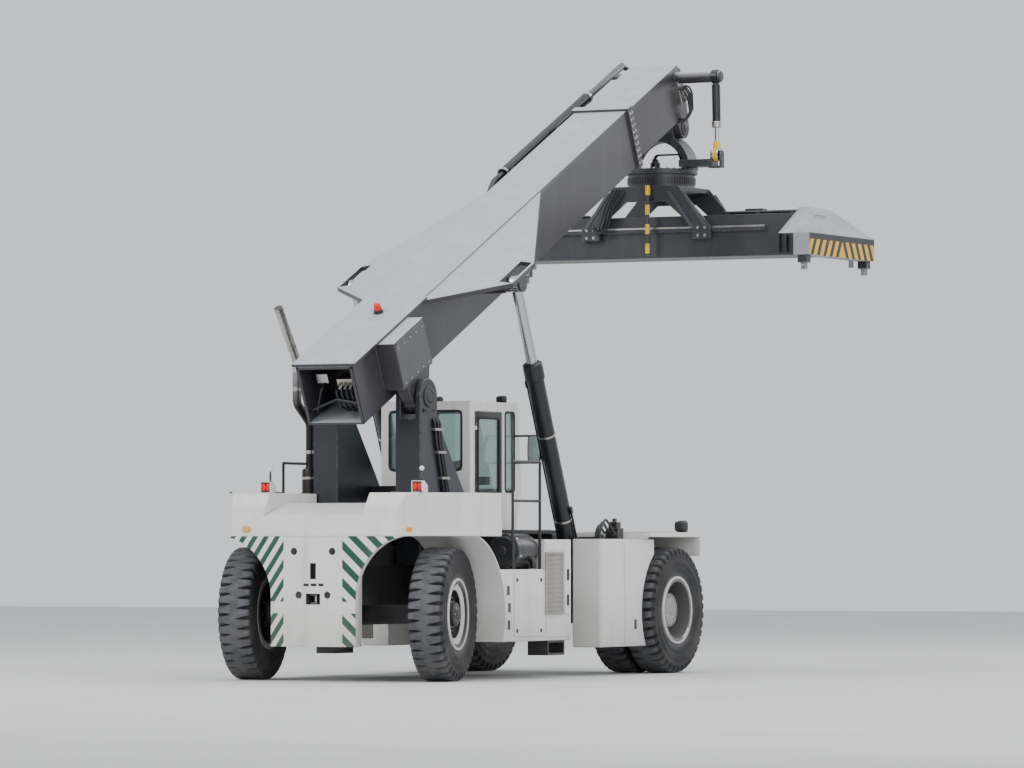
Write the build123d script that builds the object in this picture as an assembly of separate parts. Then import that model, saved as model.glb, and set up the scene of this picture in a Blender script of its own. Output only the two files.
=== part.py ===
from build123d import *
import math
import os

# Reach stacker: a two-axle container handler with a telescopic boom and a turning spreader.
# Millimetres and degrees. X points forward and starts at the rear axle, Y points to the
# machine's left, Z points up from the ground. save() then centres the whole machine on X.

# Wheels and axles
TYRE_D = 1850
TYRE_W = 500
TYRE_SIDES = 24
SHOULDER_DROP = 65
SHOULDER_Y = 190
BULGE_R = 700
GROOVE_DEPTH = 75
GROOVE_W = 95
GROOVE_END_Y = 50
RIM_SEAT_D = 880
RIM_FLANGE_D = 1000
RIM_WALL = 20
RIM_FLANGE_T = 25
BEAD_HALF = 200
WHEELBASE = 6400
REAR_WHEEL_Y = 1475
KINGPIN_Y = 1255
FRONT_INNER_Y = 1250
FRONT_OUTER_Y = 1810
STEER_REST = 11
AXLE_BEAM = 250
STEER_BEAM_D = 260
KINGPIN_R = 45
KNUCKLE_R = 90
KNUCKLE_H = 250
FORK_PLATE = 60
FORK_R = 100
SPINDLE_R = 70
REAR_HUB_R = 160
FRONT_HUB_R = 330
PLANET_R = 250
DISC_T = 30
RUN_GAP = 0.3
WHEEL_CLEAR = 62

# Chassis, counterweight and bodywork
RAIL_OUT_Y = 850
RAIL_IN_Y = 550
REAR_RAIL_Y = 500
REAR_RAIL_T = 80
RAIL_TOP = 1600
RAIL_BOTTOM = 750
REAR_RAIL_BOTTOM = 1120
RAIL_JOIN_X = 1200
FRONT_OVERHANG = 800
DECK_BACK = 700
CHASSIS_FRONT_X = WHEELBASE + FRONT_OVERHANG
FRONT_DECK_X = WHEELBASE - DECK_BACK
DECK_TOP = 2000
TAIL_X = -1000
TAIL_PLATE = 100
TAIL_BOTTOM = 480
TAIL_HALF_W = 665
TAIL_FLARE_Z = 1150
TAIL_FLARE_HALF_W = 1430
WEIGHT_FRONT_X = -500
POCKET_W = 220
POCKET_H = 150
POCKET_Z = 1135
POCKET_DEPTH = 200
TOW_PIN_R = 26
TOW_EAR = 30
TOW_SLOT_W = 90
TOW_SLOT_BOTTOM = 1410
TOW_SLOT_TOP = 1630
TOW_SLOT_DEPTH = 80
HOOD_TOP = 2600
HOOD_MID_TOP = 2460
HOOD_MID_HALF_W = 780
HOOD_REAR_HALF_W = 1290
HOOD_HALF_W = 2000
HOOD_CORNER_X = 400
HOOD_FRONT_X = 800
BOX_IN_Y = 1300
BOX_OUT_Y = 1900
BOX_BOTTOM = 530
BOX_REAR_X = 890
BOX_STEP_X = 2320
BOX_FRONT_X = 3150
BOX_LOW_TOP = 1540
BOX_TOP = 1960
TANK_IN_Y = 1500
TANK_OUT_Y = 1950
TANK_REAR_X = 3990
TANK_BACK = 610
TANK_FRONT_X = WHEELBASE - TANK_BACK
TANK_BOTTOM = 410
TANK_TOP = 1970
GUARD_T = 20
ARCH_CLEAR = 95
FENDER_T = 70
FENDER_OUT_Y = 2070
FENDER_OVERHANG = 730
FENDER_FRONT_X = WHEELBASE + FENDER_OVERHANG
FENDER_LIP_Z = 1720
FENDER_LIP_T = 30
ENGINE_L = 1500
ENGINE_W = 800
ENGINE_H = 780
ENGINE_REAR_X = -350

# Towers and boom
PIVOT_X = 800
PIVOT_Z = 3950
BOOM_ANGLE = 25.3
OUTER_W = 880
OUTER_D = 900
OUTER_P = 120
OUTER_REAR = -1200
OUTER_FRONT = 8530
OUTER_WALL = 20
BOOM_GAP = 20
INNER_WALL = 18
INNER_REAR = 1000
INNER_FRONT = 10100
PAD_L = 200
COLLAR_L = 150
COLLAR_T = 40
EAR_R = 240
EAR_IN_Y = 560
EAR_OUT_Y = 740
PIVOT_PIN_R = 90
CHEEK_REAR = -450
CHEEK_FRONT = 500
CHEEK_P = 300
CHEEK_TOP_P = 720
SIDE_COVER_TOP_P = 1000
TOP_FLANGE = 60
SIDE_GAP = 20
TOWER_OUT_Y = 850
TOWER_REAR_X = 540
TOWER_FRONT_X = 1900
TOWER_TOP_Z = 3640
TOWER_EAR_R = 260
TOWER_EAR_T = 80

# Lift cylinders
FOOT_X = 4540
FOOT_Z = 1300
LIFT_Y = 1300
LIFT_PIN_A = 2330
LIFT_PIN_P = 720
LIFT_BARREL_R = 125
LIFT_BORE_R = 100
LIFT_ROD_R = 78
LIFT_BARREL_L = 3480
LIFT_ROD_L = 3100
LIFT_EYE_R = 120
LIFT_EYE_W = 150
LIFT_GLAND = 120
LUG_T = 35
LUG_GAP = 10
FOOT_PIN_R = 60
WING_REAR = 1100
WING_FRONT = 5200
WING_TIP_REAR = 2020
WING_TIP_FRONT = 2760
WING_TIP_P = 860
WING_T = 70

# Boom head, hanger and damping cylinder
HEAD_A = 10300
HEAD_P = 0
NOSE_FRONT = 10540
NOSE_T = 100
NOSE_R = 170
HEAD_PIN_R = 80
HANGER_HALF_W = 290
HANGER_HALF_L = 170
HANGER_HUB_R = 200
YOKE_BASE_DROP = 652
YOKE_OPENING_R = 430
YOKE_R = 555
SLEW_PLATE_R = 560
SLEW_PLATE_T = 80
BAR_A = 10350
BAR_P = 800
BAR_R = 90
BAR_END_Y = 1160
DAMPER_Y = 1070
DAMPER_EYE_W = 100
DAMPER_EYE_R = 105
DAMPER_PIN_R = 60
DAMPER_R = 65
DAMPER_BORE_R = 48
DAMPER_ROD_R = 34
DAMPER_BARREL_L = 780
DAMPER_ROD_L = 800
DAMPER_FOOT_X = -250
DAMPER_FOOT_DROP = 452

# Hose guide beside the boom
HOSE_Y = 750
HOSE_P = 850
HOSE_GUIDE_R = 85
HOSE_GUIDE_BORE_R = 65
HOSE_TUBE_R = 55
HOSE_GUIDE_REAR = 6350
HOSE_GUIDE_FRONT = 9520
HOSE_TUBE_REAR = 7250
HOSE_TUBE_FRONT = 10870
HOSE_BRACKET_W = 120
HOSE_BRACKET_T = 50

# Spreader
RING_R = 520
RING_H = 200
TOP_PLATE = 1100
TOP_PLATE_T = 80
BEAM_DROP = 670
BEAM_H = 640
BEAM_HALF_L = 2500
BEAM_HALF_W = 460
BEAM_WALL = 15
BEAM_WEB = 24
ARM_GAP = 16
ARM_WALL = 12
ARM_INNER_Y = 2300
RAIL_RISE = 390
RAIL_H = 80
RAIL_OUT = 60
CLAW_T = 40
CLAW_H = 110
FRAME_FOOT_Y = 1100
FRAME_FOOT_W = 300
END_BEAM_L = 2440
END_BEAM_W = 270
END_BEAM_H = 330
END_BEAM_OUT_Y = 3060
END_BEAM_DROP = 40
END_BEAM_WALL = 16
LOCK_X = 1129.5
LOCK_Y = 2926.5
LOCK_R = 50
LOCK_DROP = 100
LOCK_BOX = 150
LOCK_BOX_H = 120
EYE_X = 900
EYE_R = 25
EYE_DROP = 60
EYE_PLATE = 120
COVER_IN_Y = 2540
COVER_TOP_HALF_L = 430
COVER_TOP_W = 110
COVER_RISE = 90
COVER_WALL = 12
POST_R = 35
POST_Y = -70
POST_RISE = 20
POST_H = 1090

# Cab
CAB_REAR_X = 2300
CAB_FRONT_X = 3900
CAB_HALF_W = 720
CAB_FLOOR = 2100
CAB_ROOF = 3930
CAB_WALL = 50
CAB_SILL = 2950
CAB_BEND = 550
CAB_LEAN = 80
GLASS_T = 12
PILLAR = 90
DOOR_REAR_X = 2450
DOOR_FRONT_X = 3300
DOOR_BOTTOM = 2170
DOOR_TOP = 3790
DOOR_GAP = 5
DOOR_FRAME = 90
HINGE_R = 14
HINGE_L = 60
HINGE_OUT = 16

# Lamps, mirrors, louvres and hatches
LAMP_X = -130
LAMP_Y = 1200
LAMP_SIZE = 170
LAMP_POST_R = 35
LAMP_POST_H = 170
BEACON_A = 600
BEACON_BASE_R = 70
BEACON_R = 55
BEACON_H = 150
LOUVRE_REAR_X = 2320
LOUVRE_FRONT_X = 2880
LOUVRE_BOTTOM = 900
LOUVRE_TOP = 1780
LOUVRE_T = 20
LOUVRE_SLATS = 12
MIRROR_X = 3650
MIRROR_Z = 3050
MIRROR_W = 220
MIRROR_H = 420
MIRROR_T = 50
MIRROR_OUT = 330
MIRROR_ARM_R = 16
WORK_LAMP_Y = 520
WORK_LAMP_W = 150
WORK_LAMP_H = 110
FENDER_LAMP_Y = 1780
FENDER_LAMP_SIZE = 180
PIPE_RUN_R = 22
PIPE_RUNS = (-230, -150, 160)
PIPE_CLAMP_T = 60
PIPE_LIFT = 45

# Seat and console
SEAT_X = 550
SEAT_H = 350
SEAT_L = 520
SEAT_W = 500
SEAT_PAD = 120
SEAT_BACK_H = 680
SEAT_LEAN = 100
PEDESTAL_R = 90
ARMREST_Z = 560
ARMREST_T = 80
ARMREST_L = 380
CONSOLE_X = 350
CONSOLE_T = 120
CONSOLE_W = 300
CONSOLE_H = 600
DASH_W = 700
WHEEL_R = 190
WHEEL_RIM_R = 16
WHEEL_TILT = 25
COLUMN_R = 35
COLUMN_L = 240

# Exhaust, air cleaner, handrails and steps
EXHAUST_BACK = 520
EXHAUST_R = 65
SILENCER_R = 120
SILENCER_TOP = 3000
KNEE_BACK = 250
KNEE_OUT = 80
KNEE_LOW_Z = 3620
KNEE_TOP_Z = 3900
PIPE_BEND_Z = 4500
PIPE_TOP_Z = 5250
PIPE_LEAN = 550
DRUM_R = 240
DRUM_L = 620
DRUM_BACK = 700
DRUM_CAP = 40
SADDLE_T = 60
HANDRAIL_R = 20
HANDRAIL_BACK = 550
HANDRAIL_MID_Z = 2500
HANDRAIL_TOP_Z = 3050
STEP_IN = 350
STEP_INSET = 150
STEP_T = 30
STEP_DROP = 210

AXLE_Z = TYRE_D / 2
SPREADER_X = PIVOT_X + HEAD_A * math.cos(math.radians(BOOM_ANGLE)) - HEAD_P * math.sin(math.radians(BOOM_ANGLE))
HEAD_Z = PIVOT_Z + HEAD_A * math.sin(math.radians(BOOM_ANGLE)) + HEAD_P * math.cos(math.radians(BOOM_ANGLE))
FRONT_X = SPREADER_X + END_BEAM_L / 2
CENTRE_X = (TAIL_X + FRONT_X) / 2
BOOM_PLACE = Location((PIVOT_X, 0, PIVOT_Z), (0, -BOOM_ANGLE, 0))
YOKE_Z = HEAD_Z - YOKE_BASE_DROP
RING_TOP = YOKE_Z - SLEW_PLATE_T - RUN_GAP
BEAM_TOP = RING_TOP - BEAM_DROP
BEAM_BOTTOM = BEAM_TOP - BEAM_H
RAIL_Z = BEAM_BOTTOM + RAIL_RISE
END_BEAM_BOTTOM = BEAM_BOTTOM - END_BEAM_DROP
END_BEAM_TOP = END_BEAM_BOTTOM + END_BEAM_H
LOCK_FACE_Z = END_BEAM_BOTTOM - LOCK_BOX_H
EYE_Z = END_BEAM_BOTTOM - EYE_DROP
COVER_TOP = BEAM_TOP + COVER_RISE
POST_TOP = RING_TOP - RING_H + POST_RISE
POST_BOTTOM = POST_TOP - POST_H
ARCH_R = math.hypot(REAR_WHEEL_Y - KINGPIN_Y + TYRE_W / 2, TYRE_D / 2) + WHEEL_CLEAR
FRONT_ARCH_R = TYRE_D / 2 + ARCH_CLEAR
SIDES = (("left", 1), ("right", -1))


def block(x0, x1, y0, y1, z0, z1):
    """Box between two corners."""
    size = (abs(x1 - x0), abs(y1 - y0), abs(z1 - z0))
    return Pos((x0 + x1) / 2, (y0 + y1) / 2, (z0 + z1) / 2) * Box(*size)


def polygon(points, direction, length):
    """Straight extrusion of a closed outline of corners."""
    return extrude(Face(Wire.make_polygon(points, close=True)), amount=length, dir=direction)


def slab_y(points, y0, y1):
    """Outline of (x, z) corners from y0 to y1."""
    low, high = min(y0, y1), max(y0, y1)
    return polygon([(x, low, z) for x, z in points], (0, 1, 0), high - low)


def slab_x(points, x0, x1):
    """Outline of (y, z) corners from x0 to x1."""
    return polygon([(x0, y, z) for y, z in points], (1, 0, 0), x1 - x0)


def slab_z(points, z0, z1):
    """Outline of (x, y) corners from z0 to z1."""
    return polygon([(x, y, z0) for x, y in points], (0, 0, 1), z1 - z0)


def rod_y(x, z, radius, y0, y1):
    """Round bar along Y."""
    return Pos(x, (y0 + y1) / 2, z) * Rot(90, 0, 0) * Cylinder(radius, abs(y1 - y0))


def rod_z(x, y, radius, z0, z1):
    """Round bar along Z."""
    return Pos(x, y, (z0 + z1) / 2) * Cylinder(radius, abs(z1 - z0))


def rod_x(y, z, radius, x0, x1):
    """Round bar along X."""
    return Pos((x0 + x1) / 2, y, z) * Rot(0, 90, 0) * Cylinder(radius, abs(x1 - x0))


def ring_y(inner, outer, y0, y1):
    """Ring about the Y axis."""
    return rod_y(0, 0, outer, y0, y1) - rod_y(0, 0, inner, y0 - 1, y1 + 1)


def mirrored(shape, side):
    """The left-hand shape, or its mirror on the right."""
    return shape if side > 0 else shape.mirror(Plane.XZ)


def save(name, *solids):
    """Write one sub-part, moved so that the machine's middle stands over the origin."""
    shift = Pos(-CENTRE_X, 0, 0)
    moved = [shift * solid for shape in solids for solid in shape.solids()]
    shape = moved[0] if len(moved) == 1 else Compound(children=moved)
    export_step(shape, "parts/" + name + ".step")


def flat_ring(stations):
    """Closed ring of flat facets about Y; each station is an (inner radius of the flat, y) pair."""
    turn = 2 * math.pi / TYRE_SIDES
    rows = []
    for flat, y in stations:
        corner = flat / math.cos(turn / 2)
        rows.append([(corner * math.sin((i + 0.5) * turn), y, -corner * math.cos((i + 0.5) * turn))
                     for i in range(TYRE_SIDES)])
    faces = []
    for row, after in zip(rows, rows[1:] + rows[:1]):
        for i in range(TYRE_SIDES):
            j = (i + 1) % TYRE_SIDES
            faces.append(Face(Wire.make_polygon([row[i], row[j], after[j], after[i]], close=True)))
    return Solid(Shell(faces))


def groove(side):
    """Wedge that cuts one groove between two lugs, from the shoulder towards the tread's middle."""
    top = TYRE_D / 2 + GROOVE_DEPTH / 3
    low = TYRE_D / 2 - GROOVE_DEPTH
    y_out, y_in = side * (TYRE_W / 2 + 1), side * GROOVE_END_Y
    corners = [(-GROOVE_W / 2, y_out, top), (GROOVE_W / 2, y_out, top), (0, y_out, low), (0, y_in, top)]
    sides = ((0, 1, 2), (0, 1, 3), (1, 2, 3), (0, 2, 3))
    return Solid(Shell([Face(Wire.make_polygon([corners[i] for i in side_3], close=True)) for side_3 in sides]))


def tyre(centre_y):
    """Tyre about the Y axis, out to the tips of the lugs between its grooves."""
    seat, top, half = RIM_SEAT_D / 2, TYRE_D / 2, TYRE_W / 2
    wall = [
        (seat, BEAD_HALF),
        (RIM_FLANGE_D / 2, BEAD_HALF),
        (BULGE_R, half),
        (top - SHOULDER_DROP, half - 6),
        (top, SHOULDER_Y),
    ]
    body = flat_ring(wall + [(r, -y) for r, y in reversed(wall)])
    turn = 360 / TYRE_SIDES
    cuts = [
        Rot(0, (i + shift) * turn, 0) * groove(side)
        for side, shift in ((1, 0), (-1, 0.5))
        for i in range(TYRE_SIDES)
    ]
    return Pos(0, centre_y, 0) * body.cut(*cuts)


def rim_barrel(centre_y):
    """Rim barrel with its two flanges, about the Y axis."""
    seat = RIM_SEAT_D / 2
    end = BEAD_HALF + RIM_FLANGE_T
    barrel = ring_y(seat - RIM_WALL, seat, centre_y - end, centre_y + end)
    for side in (-1, 1):
        y0, y1 = sorted((centre_y + side * BEAD_HALF, centre_y + side * end))
        barrel += ring_y(seat - RIM_WALL / 2, RIM_FLANGE_D / 2, y0, y1)
    return barrel


def rear_place(shape, side):
    """Set a part built about the left kingpin on its side, at the parked steering angle."""
    return Pos(0, side * KINGPIN_Y, AXLE_Z) * Rot(0, 0, STEER_REST) * mirrored(shape, side)


def rear_wheel(side):
    """Single steered wheel: rim with its hub, and tyre."""
    centre = REAR_WHEEL_Y - KINGPIN_Y
    disc_y = centre + DISC_T
    hub_in = KNUCKLE_R + SPINDLE_R
    hub_out = centre + BEAD_HALF
    hub = rod_y(0, 0, REAR_HUB_R, hub_in, hub_out)
    hub += rod_y(0, 0, RIM_SEAT_D / 2 - RIM_WALL / 2, disc_y, disc_y + DISC_T)
    hub -= rod_y(0, 0, SPINDLE_R + RUN_GAP, hub_in - 1, hub_out - DISC_T)
    return rear_place(rim_barrel(centre) + hub, side), rear_place(tyre(centre), side)


def knuckle(side):
    """Steering knuckle: boss on the kingpin and spindle for the wheel."""
    spindle_end = REAR_WHEEL_Y - KINGPIN_Y + BEAD_HALF - DISC_T - RUN_GAP
    body = rod_z(0, 0, KNUCKLE_R, -KNUCKLE_H / 2, KNUCKLE_H / 2)
    body += rod_z(0, 0, KINGPIN_R, -KNUCKLE_H / 2 - FORK_PLATE, KNUCKLE_H / 2 + FORK_PLATE)
    body += rod_y(0, 0, SPINDLE_R, 0, spindle_end)
    return rear_place(body, side)


def steer_axle():
    """Rear axle beam with a fork at each end round the knuckle."""
    fork_z = KNUCKLE_H / 2 + RUN_GAP
    web_y = KINGPIN_Y - KNUCKLE_R - SIDE_GAP
    half = STEER_BEAM_D / 2
    beam = block(-half, half, -web_y, web_y, AXLE_Z - AXLE_BEAM / 2, AXLE_Z + AXLE_BEAM / 2)
    for side in (-1, 1):
        beam += block(-half, half, side * (web_y - FORK_R), side * web_y, AXLE_Z - fork_z - FORK_PLATE,
                      AXLE_Z + fork_z + FORK_PLATE)
        for level in (-1, 1):
            z0, z1 = sorted((AXLE_Z + level * fork_z, AXLE_Z + level * (fork_z + FORK_PLATE)))
            plate = block(-FORK_R, FORK_R, side * (web_y - FORK_R), side * KINGPIN_Y, z0, z1)
            plate += rod_z(0, side * KINGPIN_Y, FORK_R, z0, z1)
            beam += plate - rod_z(0, side * KINGPIN_Y, KINGPIN_R + RUN_GAP, z0 - 1, z1 + 1)
    return beam


def front_wheels(side):
    """Twin drive wheels on one hub: rims with the hub, and the two tyres."""
    mate = (FRONT_INNER_Y + FRONT_OUTER_Y) / 2
    axle_end = FRONT_INNER_Y - BEAD_HALF - RIM_FLANGE_T
    rims = rim_barrel(FRONT_INNER_Y) + rim_barrel(FRONT_OUTER_Y)
    rims += rod_y(0, 0, RIM_SEAT_D / 2 - RIM_WALL / 2, FRONT_INNER_Y + BEAD_HALF, FRONT_OUTER_Y - BEAD_HALF)
    rims += rod_y(0, 0, FRONT_HUB_R, axle_end + RUN_GAP, mate)
    rims += rod_y(0, 0, PLANET_R, mate, FRONT_OUTER_Y + BEAD_HALF / 2)
    place = Pos(WHEELBASE, 0, AXLE_Z)
    tyres = [place * mirrored(tyre(y), side) for y in (FRONT_INNER_Y, FRONT_OUTER_Y)]
    return place * mirrored(rims, side), tyres


def drive_axle():
    """Drive axle beam with its bevel-gear bulge and the brake ends that meet the hubs."""
    end = FRONT_INNER_Y - BEAD_HALF - RIM_FLANGE_T
    half = AXLE_BEAM / 2
    top = AXLE_Z + half + FORK_PLATE / 2
    beam = block(WHEELBASE - half, WHEELBASE + half, -end + FORK_R, end - FORK_R, AXLE_Z - half, AXLE_Z + half)
    beam += rod_x(0, AXLE_Z, RAIL_IN_Y / 2, WHEELBASE - half - FORK_R, WHEELBASE + half)
    for side in (-1, 1):
        beam += rod_y(WHEELBASE, AXLE_Z, PLANET_R, side * (end - FORK_R), side * end)
        beam += block(WHEELBASE - half, WHEELBASE + half, side * RAIL_IN_Y, side * RAIL_OUT_Y, AXLE_Z, top)
    return beam


def chassis_frame():
    """Welded frame: two rails, their cross members, the outriggers and the front deck."""
    axle_top = AXLE_Z + AXLE_BEAM / 2 + FORK_PLATE / 2
    step_x = FRONT_DECK_X + FORK_R * 2
    rail = [
        (RAIL_JOIN_X, RAIL_BOTTOM),
        (FRONT_DECK_X, RAIL_BOTTOM),
        (step_x, axle_top),
        (CHASSIS_FRONT_X, axle_top),
        (CHASSIS_FRONT_X, RAIL_TOP),
        (RAIL_JOIN_X, RAIL_TOP),
    ]
    frame = block(FRONT_DECK_X, CHASSIS_FRONT_X, -RAIL_OUT_Y, RAIL_OUT_Y, RAIL_TOP, DECK_TOP)
    frame += block(RAIL_JOIN_X, RAIL_JOIN_X + 300, -RAIL_OUT_Y, RAIL_OUT_Y, REAR_RAIL_BOTTOM, RAIL_TOP)
    saddle = AXLE_Z + AXLE_BEAM / 2
    frame += block(-STEER_BEAM_D, STEER_BEAM_D, -REAR_RAIL_Y + REAR_RAIL_T, REAR_RAIL_Y - REAR_RAIL_T, saddle,
                   REAR_RAIL_BOTTOM)
    for side in (-1, 1):
        frame += slab_y(rail, side * RAIL_IN_Y, side * RAIL_OUT_Y)
        frame += block(WEIGHT_FRONT_X, RAIL_JOIN_X, side * (REAR_RAIL_Y - REAR_RAIL_T), side * REAR_RAIL_Y,
                       saddle, RAIL_TOP)
        for x in (BOX_REAR_X + 700, BOX_STEP_X + 500):
            frame += block(x, x + 200, side * RAIL_OUT_Y, side * BOX_IN_Y, RAIL_BOTTOM + 100, RAIL_BOTTOM + 300)
        frame += foot_bracket(side)
    return frame


def foot_bracket(side):
    """Outrigger that carries a lift cylinder's foot pin between two lugs, and the tank beside it."""
    half = LIFT_EYE_W / 2 + LUG_GAP
    top = FOOT_Z - LIFT_EYE_R - LUG_GAP * 3
    arm = block(FOOT_X - LIFT_EYE_R * 1.6, FOOT_X + LIFT_EYE_R * 1.6, RAIL_OUT_Y, TANK_IN_Y, RAIL_BOTTOM, top)
    for y in (LIFT_Y - half - LUG_T, LIFT_Y + half):
        arm += block(FOOT_X - LIFT_EYE_R, FOOT_X + LIFT_EYE_R, y, y + LUG_T, top, FOOT_Z)
        arm += rod_y(FOOT_X, FOOT_Z, LIFT_EYE_R, y, y + LUG_T)
    arm += rod_y(FOOT_X, FOOT_Z, FOOT_PIN_R, LIFT_Y - half - LUG_T, LIFT_Y + half + LUG_T)
    return mirrored(arm, side)


def counterweight():
    """Cast weight between the rear wheels, its flared tail plate and the tow pocket."""
    top = DECK_TOP
    flare_r = (TAIL_FLARE_HALF_W - TAIL_HALF_W)
    start = Vector(TAIL_X, TAIL_HALF_W, TAIL_FLARE_Z)
    end = Vector(TAIL_X, TAIL_FLARE_HALF_W, top)
    mid = Vector(TAIL_X, TAIL_HALF_W + flare_r * 0.24, TAIL_FLARE_Z + (top - TAIL_FLARE_Z) * 0.62)
    corners = [
        (0, TAIL_BOTTOM), (TAIL_HALF_W, TAIL_BOTTOM), (TAIL_HALF_W, TAIL_FLARE_Z), (TAIL_FLARE_HALF_W, top), (0, top),
    ]
    points = [Vector(TAIL_X, y, z) for y, z in corners]
    edges = [
        Edge.make_line(points[0], points[1]),
        Edge.make_line(points[1], points[2]),
        Edge.make_three_point_arc(start, mid, end),
        Edge.make_line(points[3], points[4]),
        Edge.make_line(points[4], points[0]),
    ]
    half_plate = extrude(Face(Wire(edges)), amount=TAIL_PLATE, dir=(1, 0, 0))
    weight = half_plate + half_plate.mirror(Plane.XZ)
    weight += block(TAIL_X + TAIL_PLATE, WEIGHT_FRONT_X, -REAR_RAIL_Y, REAR_RAIL_Y, TAIL_BOTTOM, top)
    weight -= block(TAIL_X - 1, TAIL_X + POCKET_DEPTH, -POCKET_W / 2, POCKET_W / 2, POCKET_Z - POCKET_H / 2,
                    POCKET_Z + POCKET_H / 2)
    weight -= block(TAIL_X - 1, TAIL_X + TOW_SLOT_DEPTH, -TOW_SLOT_W / 2, TOW_SLOT_W / 2, TOW_SLOT_BOTTOM,
                    TOW_SLOT_TOP)
    for level in (-1, 1):
        z0, z1 = sorted((POCKET_Z + level * POCKET_H / 2, POCKET_Z + level * (POCKET_H / 2 - TOW_EAR)))
        ear = block(TAIL_X + TOW_EAR, TAIL_X + POCKET_DEPTH, -POCKET_W / 4, POCKET_W / 4, z0, z1)
        weight += ear - rod_z(TAIL_X + POCKET_DEPTH / 2, 0, TOW_PIN_R, z0 - 1, z1 + 1)
    return weight


def hood():
    """Rear cover over the wheels: two raised wings and a lower middle panel between the towers."""
    side_in = HOOD_MID_HALF_W
    tower_y = OUTER_W / 2 + SIDE_GAP
    plan = [
        (TAIL_X, side_in),
        (TAIL_X, HOOD_REAR_HALF_W),
        (HOOD_CORNER_X, HOOD_HALF_W),
        (HOOD_FRONT_X, HOOD_HALF_W),
        (HOOD_FRONT_X, TOWER_OUT_Y + SIDE_GAP),
        (TOWER_REAR_X - SIDE_GAP, TOWER_OUT_Y + SIDE_GAP),
        (TOWER_REAR_X - SIDE_GAP, side_in),
    ]
    wing = slab_z(plan, DECK_TOP, HOOD_TOP)
    slope = slab_y([(TAIL_X - 1, DECK_TOP + 330), (TAIL_X + 190, HOOD_TOP + 1), (TAIL_X - 1, HOOD_TOP + 1)], 0,
                   HOOD_HALF_W)
    wing -= slope
    middle = slab_y(
        [(TAIL_X, DECK_TOP), (TAIL_X, DECK_TOP + 280), (TAIL_X + 500, HOOD_MID_TOP),
         (TOWER_REAR_X - SIDE_GAP, HOOD_MID_TOP), (TOWER_REAR_X - SIDE_GAP, DECK_TOP)],
        -side_in, side_in)
    tongue = block(TOWER_REAR_X - SIDE_GAP, TOWER_FRONT_X, -tower_y + SIDE_GAP * 2, tower_y - SIDE_GAP * 2,
                   DECK_TOP, HOOD_MID_TOP - 60)
    return wing + wing.mirror(Plane.XZ) + middle + tongue


def side_box(side):
    """Service box behind and in front of the access steps, cut round the rear wheel's arch."""
    outline = [
        (BOX_REAR_X, BOX_BOTTOM), (BOX_FRONT_X, BOX_BOTTOM), (BOX_FRONT_X, BOX_TOP), (BOX_STEP_X, BOX_TOP),
        (BOX_STEP_X, BOX_LOW_TOP), (BOX_REAR_X, BOX_LOW_TOP),
    ]
    body = slab_y(outline, BOX_IN_Y, BOX_OUT_Y)
    body -= rod_y(0, AXLE_Z, ARCH_R + GUARD_T, BOX_IN_Y - 1, BOX_OUT_Y + 1)
    return mirrored(body, side)


def tank(side):
    """Tank between the lift cylinder and the front wheels, cut round their arch."""
    body = block(TANK_REAR_X, TANK_FRONT_X, TANK_IN_Y, TANK_OUT_Y, TANK_BOTTOM, TANK_TOP)
    body -= rod_y(WHEELBASE, AXLE_Z, FRONT_ARCH_R, TANK_IN_Y - 1, TANK_OUT_Y + 1)
    return mirrored(body, side)


def mudguard(side):
    """Curved guard ahead of a rear wheel, from the hood down to the side box."""
    shell = rod_y(0, AXLE_Z, ARCH_R + GUARD_T, RAIL_OUT_Y + SIDE_GAP, BOX_OUT_Y)
    shell -= rod_y(0, AXLE_Z, ARCH_R, RAIL_OUT_Y, BOX_OUT_Y + 1)
    shell &= block(0, ARCH_R * 2, RAIL_OUT_Y, BOX_OUT_Y, BOX_BOTTOM, DECK_TOP)
    return mirrored(shell, side)


def fender(side):
    """Flat step over the twin front wheels with a lip at its front."""
    plate = block(TANK_FRONT_X - 400, FENDER_FRONT_X, RAIL_OUT_Y, FENDER_OUT_Y, DECK_TOP, DECK_TOP + FENDER_T)
    plate += block(FENDER_FRONT_X - FENDER_LIP_T, FENDER_FRONT_X, RAIL_OUT_Y, FENDER_OUT_Y, FENDER_LIP_Z, DECK_TOP)
    plate += block(TANK_FRONT_X - 400, TANK_FRONT_X - 200, TANK_IN_Y, TANK_OUT_Y, TANK_TOP, DECK_TOP)
    return mirrored(plate, side)


def tower(side):
    """Boom support: a tapered box with two ears round the boom's pivot pin."""
    inner = OUTER_W / 2 + SIDE_GAP
    outline = [
        (TOWER_REAR_X, RAIL_TOP), (TOWER_FRONT_X, RAIL_TOP), (TOWER_FRONT_X, HOOD_TOP),
        (PIVOT_X + TOWER_EAR_R, TOWER_TOP_Z), (PIVOT_X - TOWER_EAR_R, TOWER_TOP_Z), (TOWER_REAR_X, HOOD_TOP),
    ]
    body = slab_y(outline, inner, TOWER_OUT_Y)
    for y in (inner, TOWER_OUT_Y - TOWER_EAR_T):
        body += block(PIVOT_X - TOWER_EAR_R, PIVOT_X + TOWER_EAR_R, y, y + TOWER_EAR_T, TOWER_TOP_Z, PIVOT_Z)
        body += rod_y(PIVOT_X, PIVOT_Z, TOWER_EAR_R, y, y + TOWER_EAR_T)
    body += rod_y(PIVOT_X, PIVOT_Z, PIVOT_PIN_R, inner, TOWER_OUT_Y + SIDE_GAP)
    return mirrored(body, side)


def tower_tie():
    """Cross box between the two towers."""
    inner = OUTER_W / 2 + SIDE_GAP
    return block(TOWER_FRONT_X - 400, TOWER_FRONT_X - 200, -inner, inner, HOOD_MID_TOP + 60, HOOD_MID_TOP + 260)


def tube_a(a0, a1, half_w, p0, p1, wall):
    """Open square tube along the boom."""
    outer = block(a0, a1, -half_w, half_w, p0, p1)
    return outer - block(a0 - 1, a1 + 1, -half_w + wall, half_w - wall, p0 + wall, p1 - wall)


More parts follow.
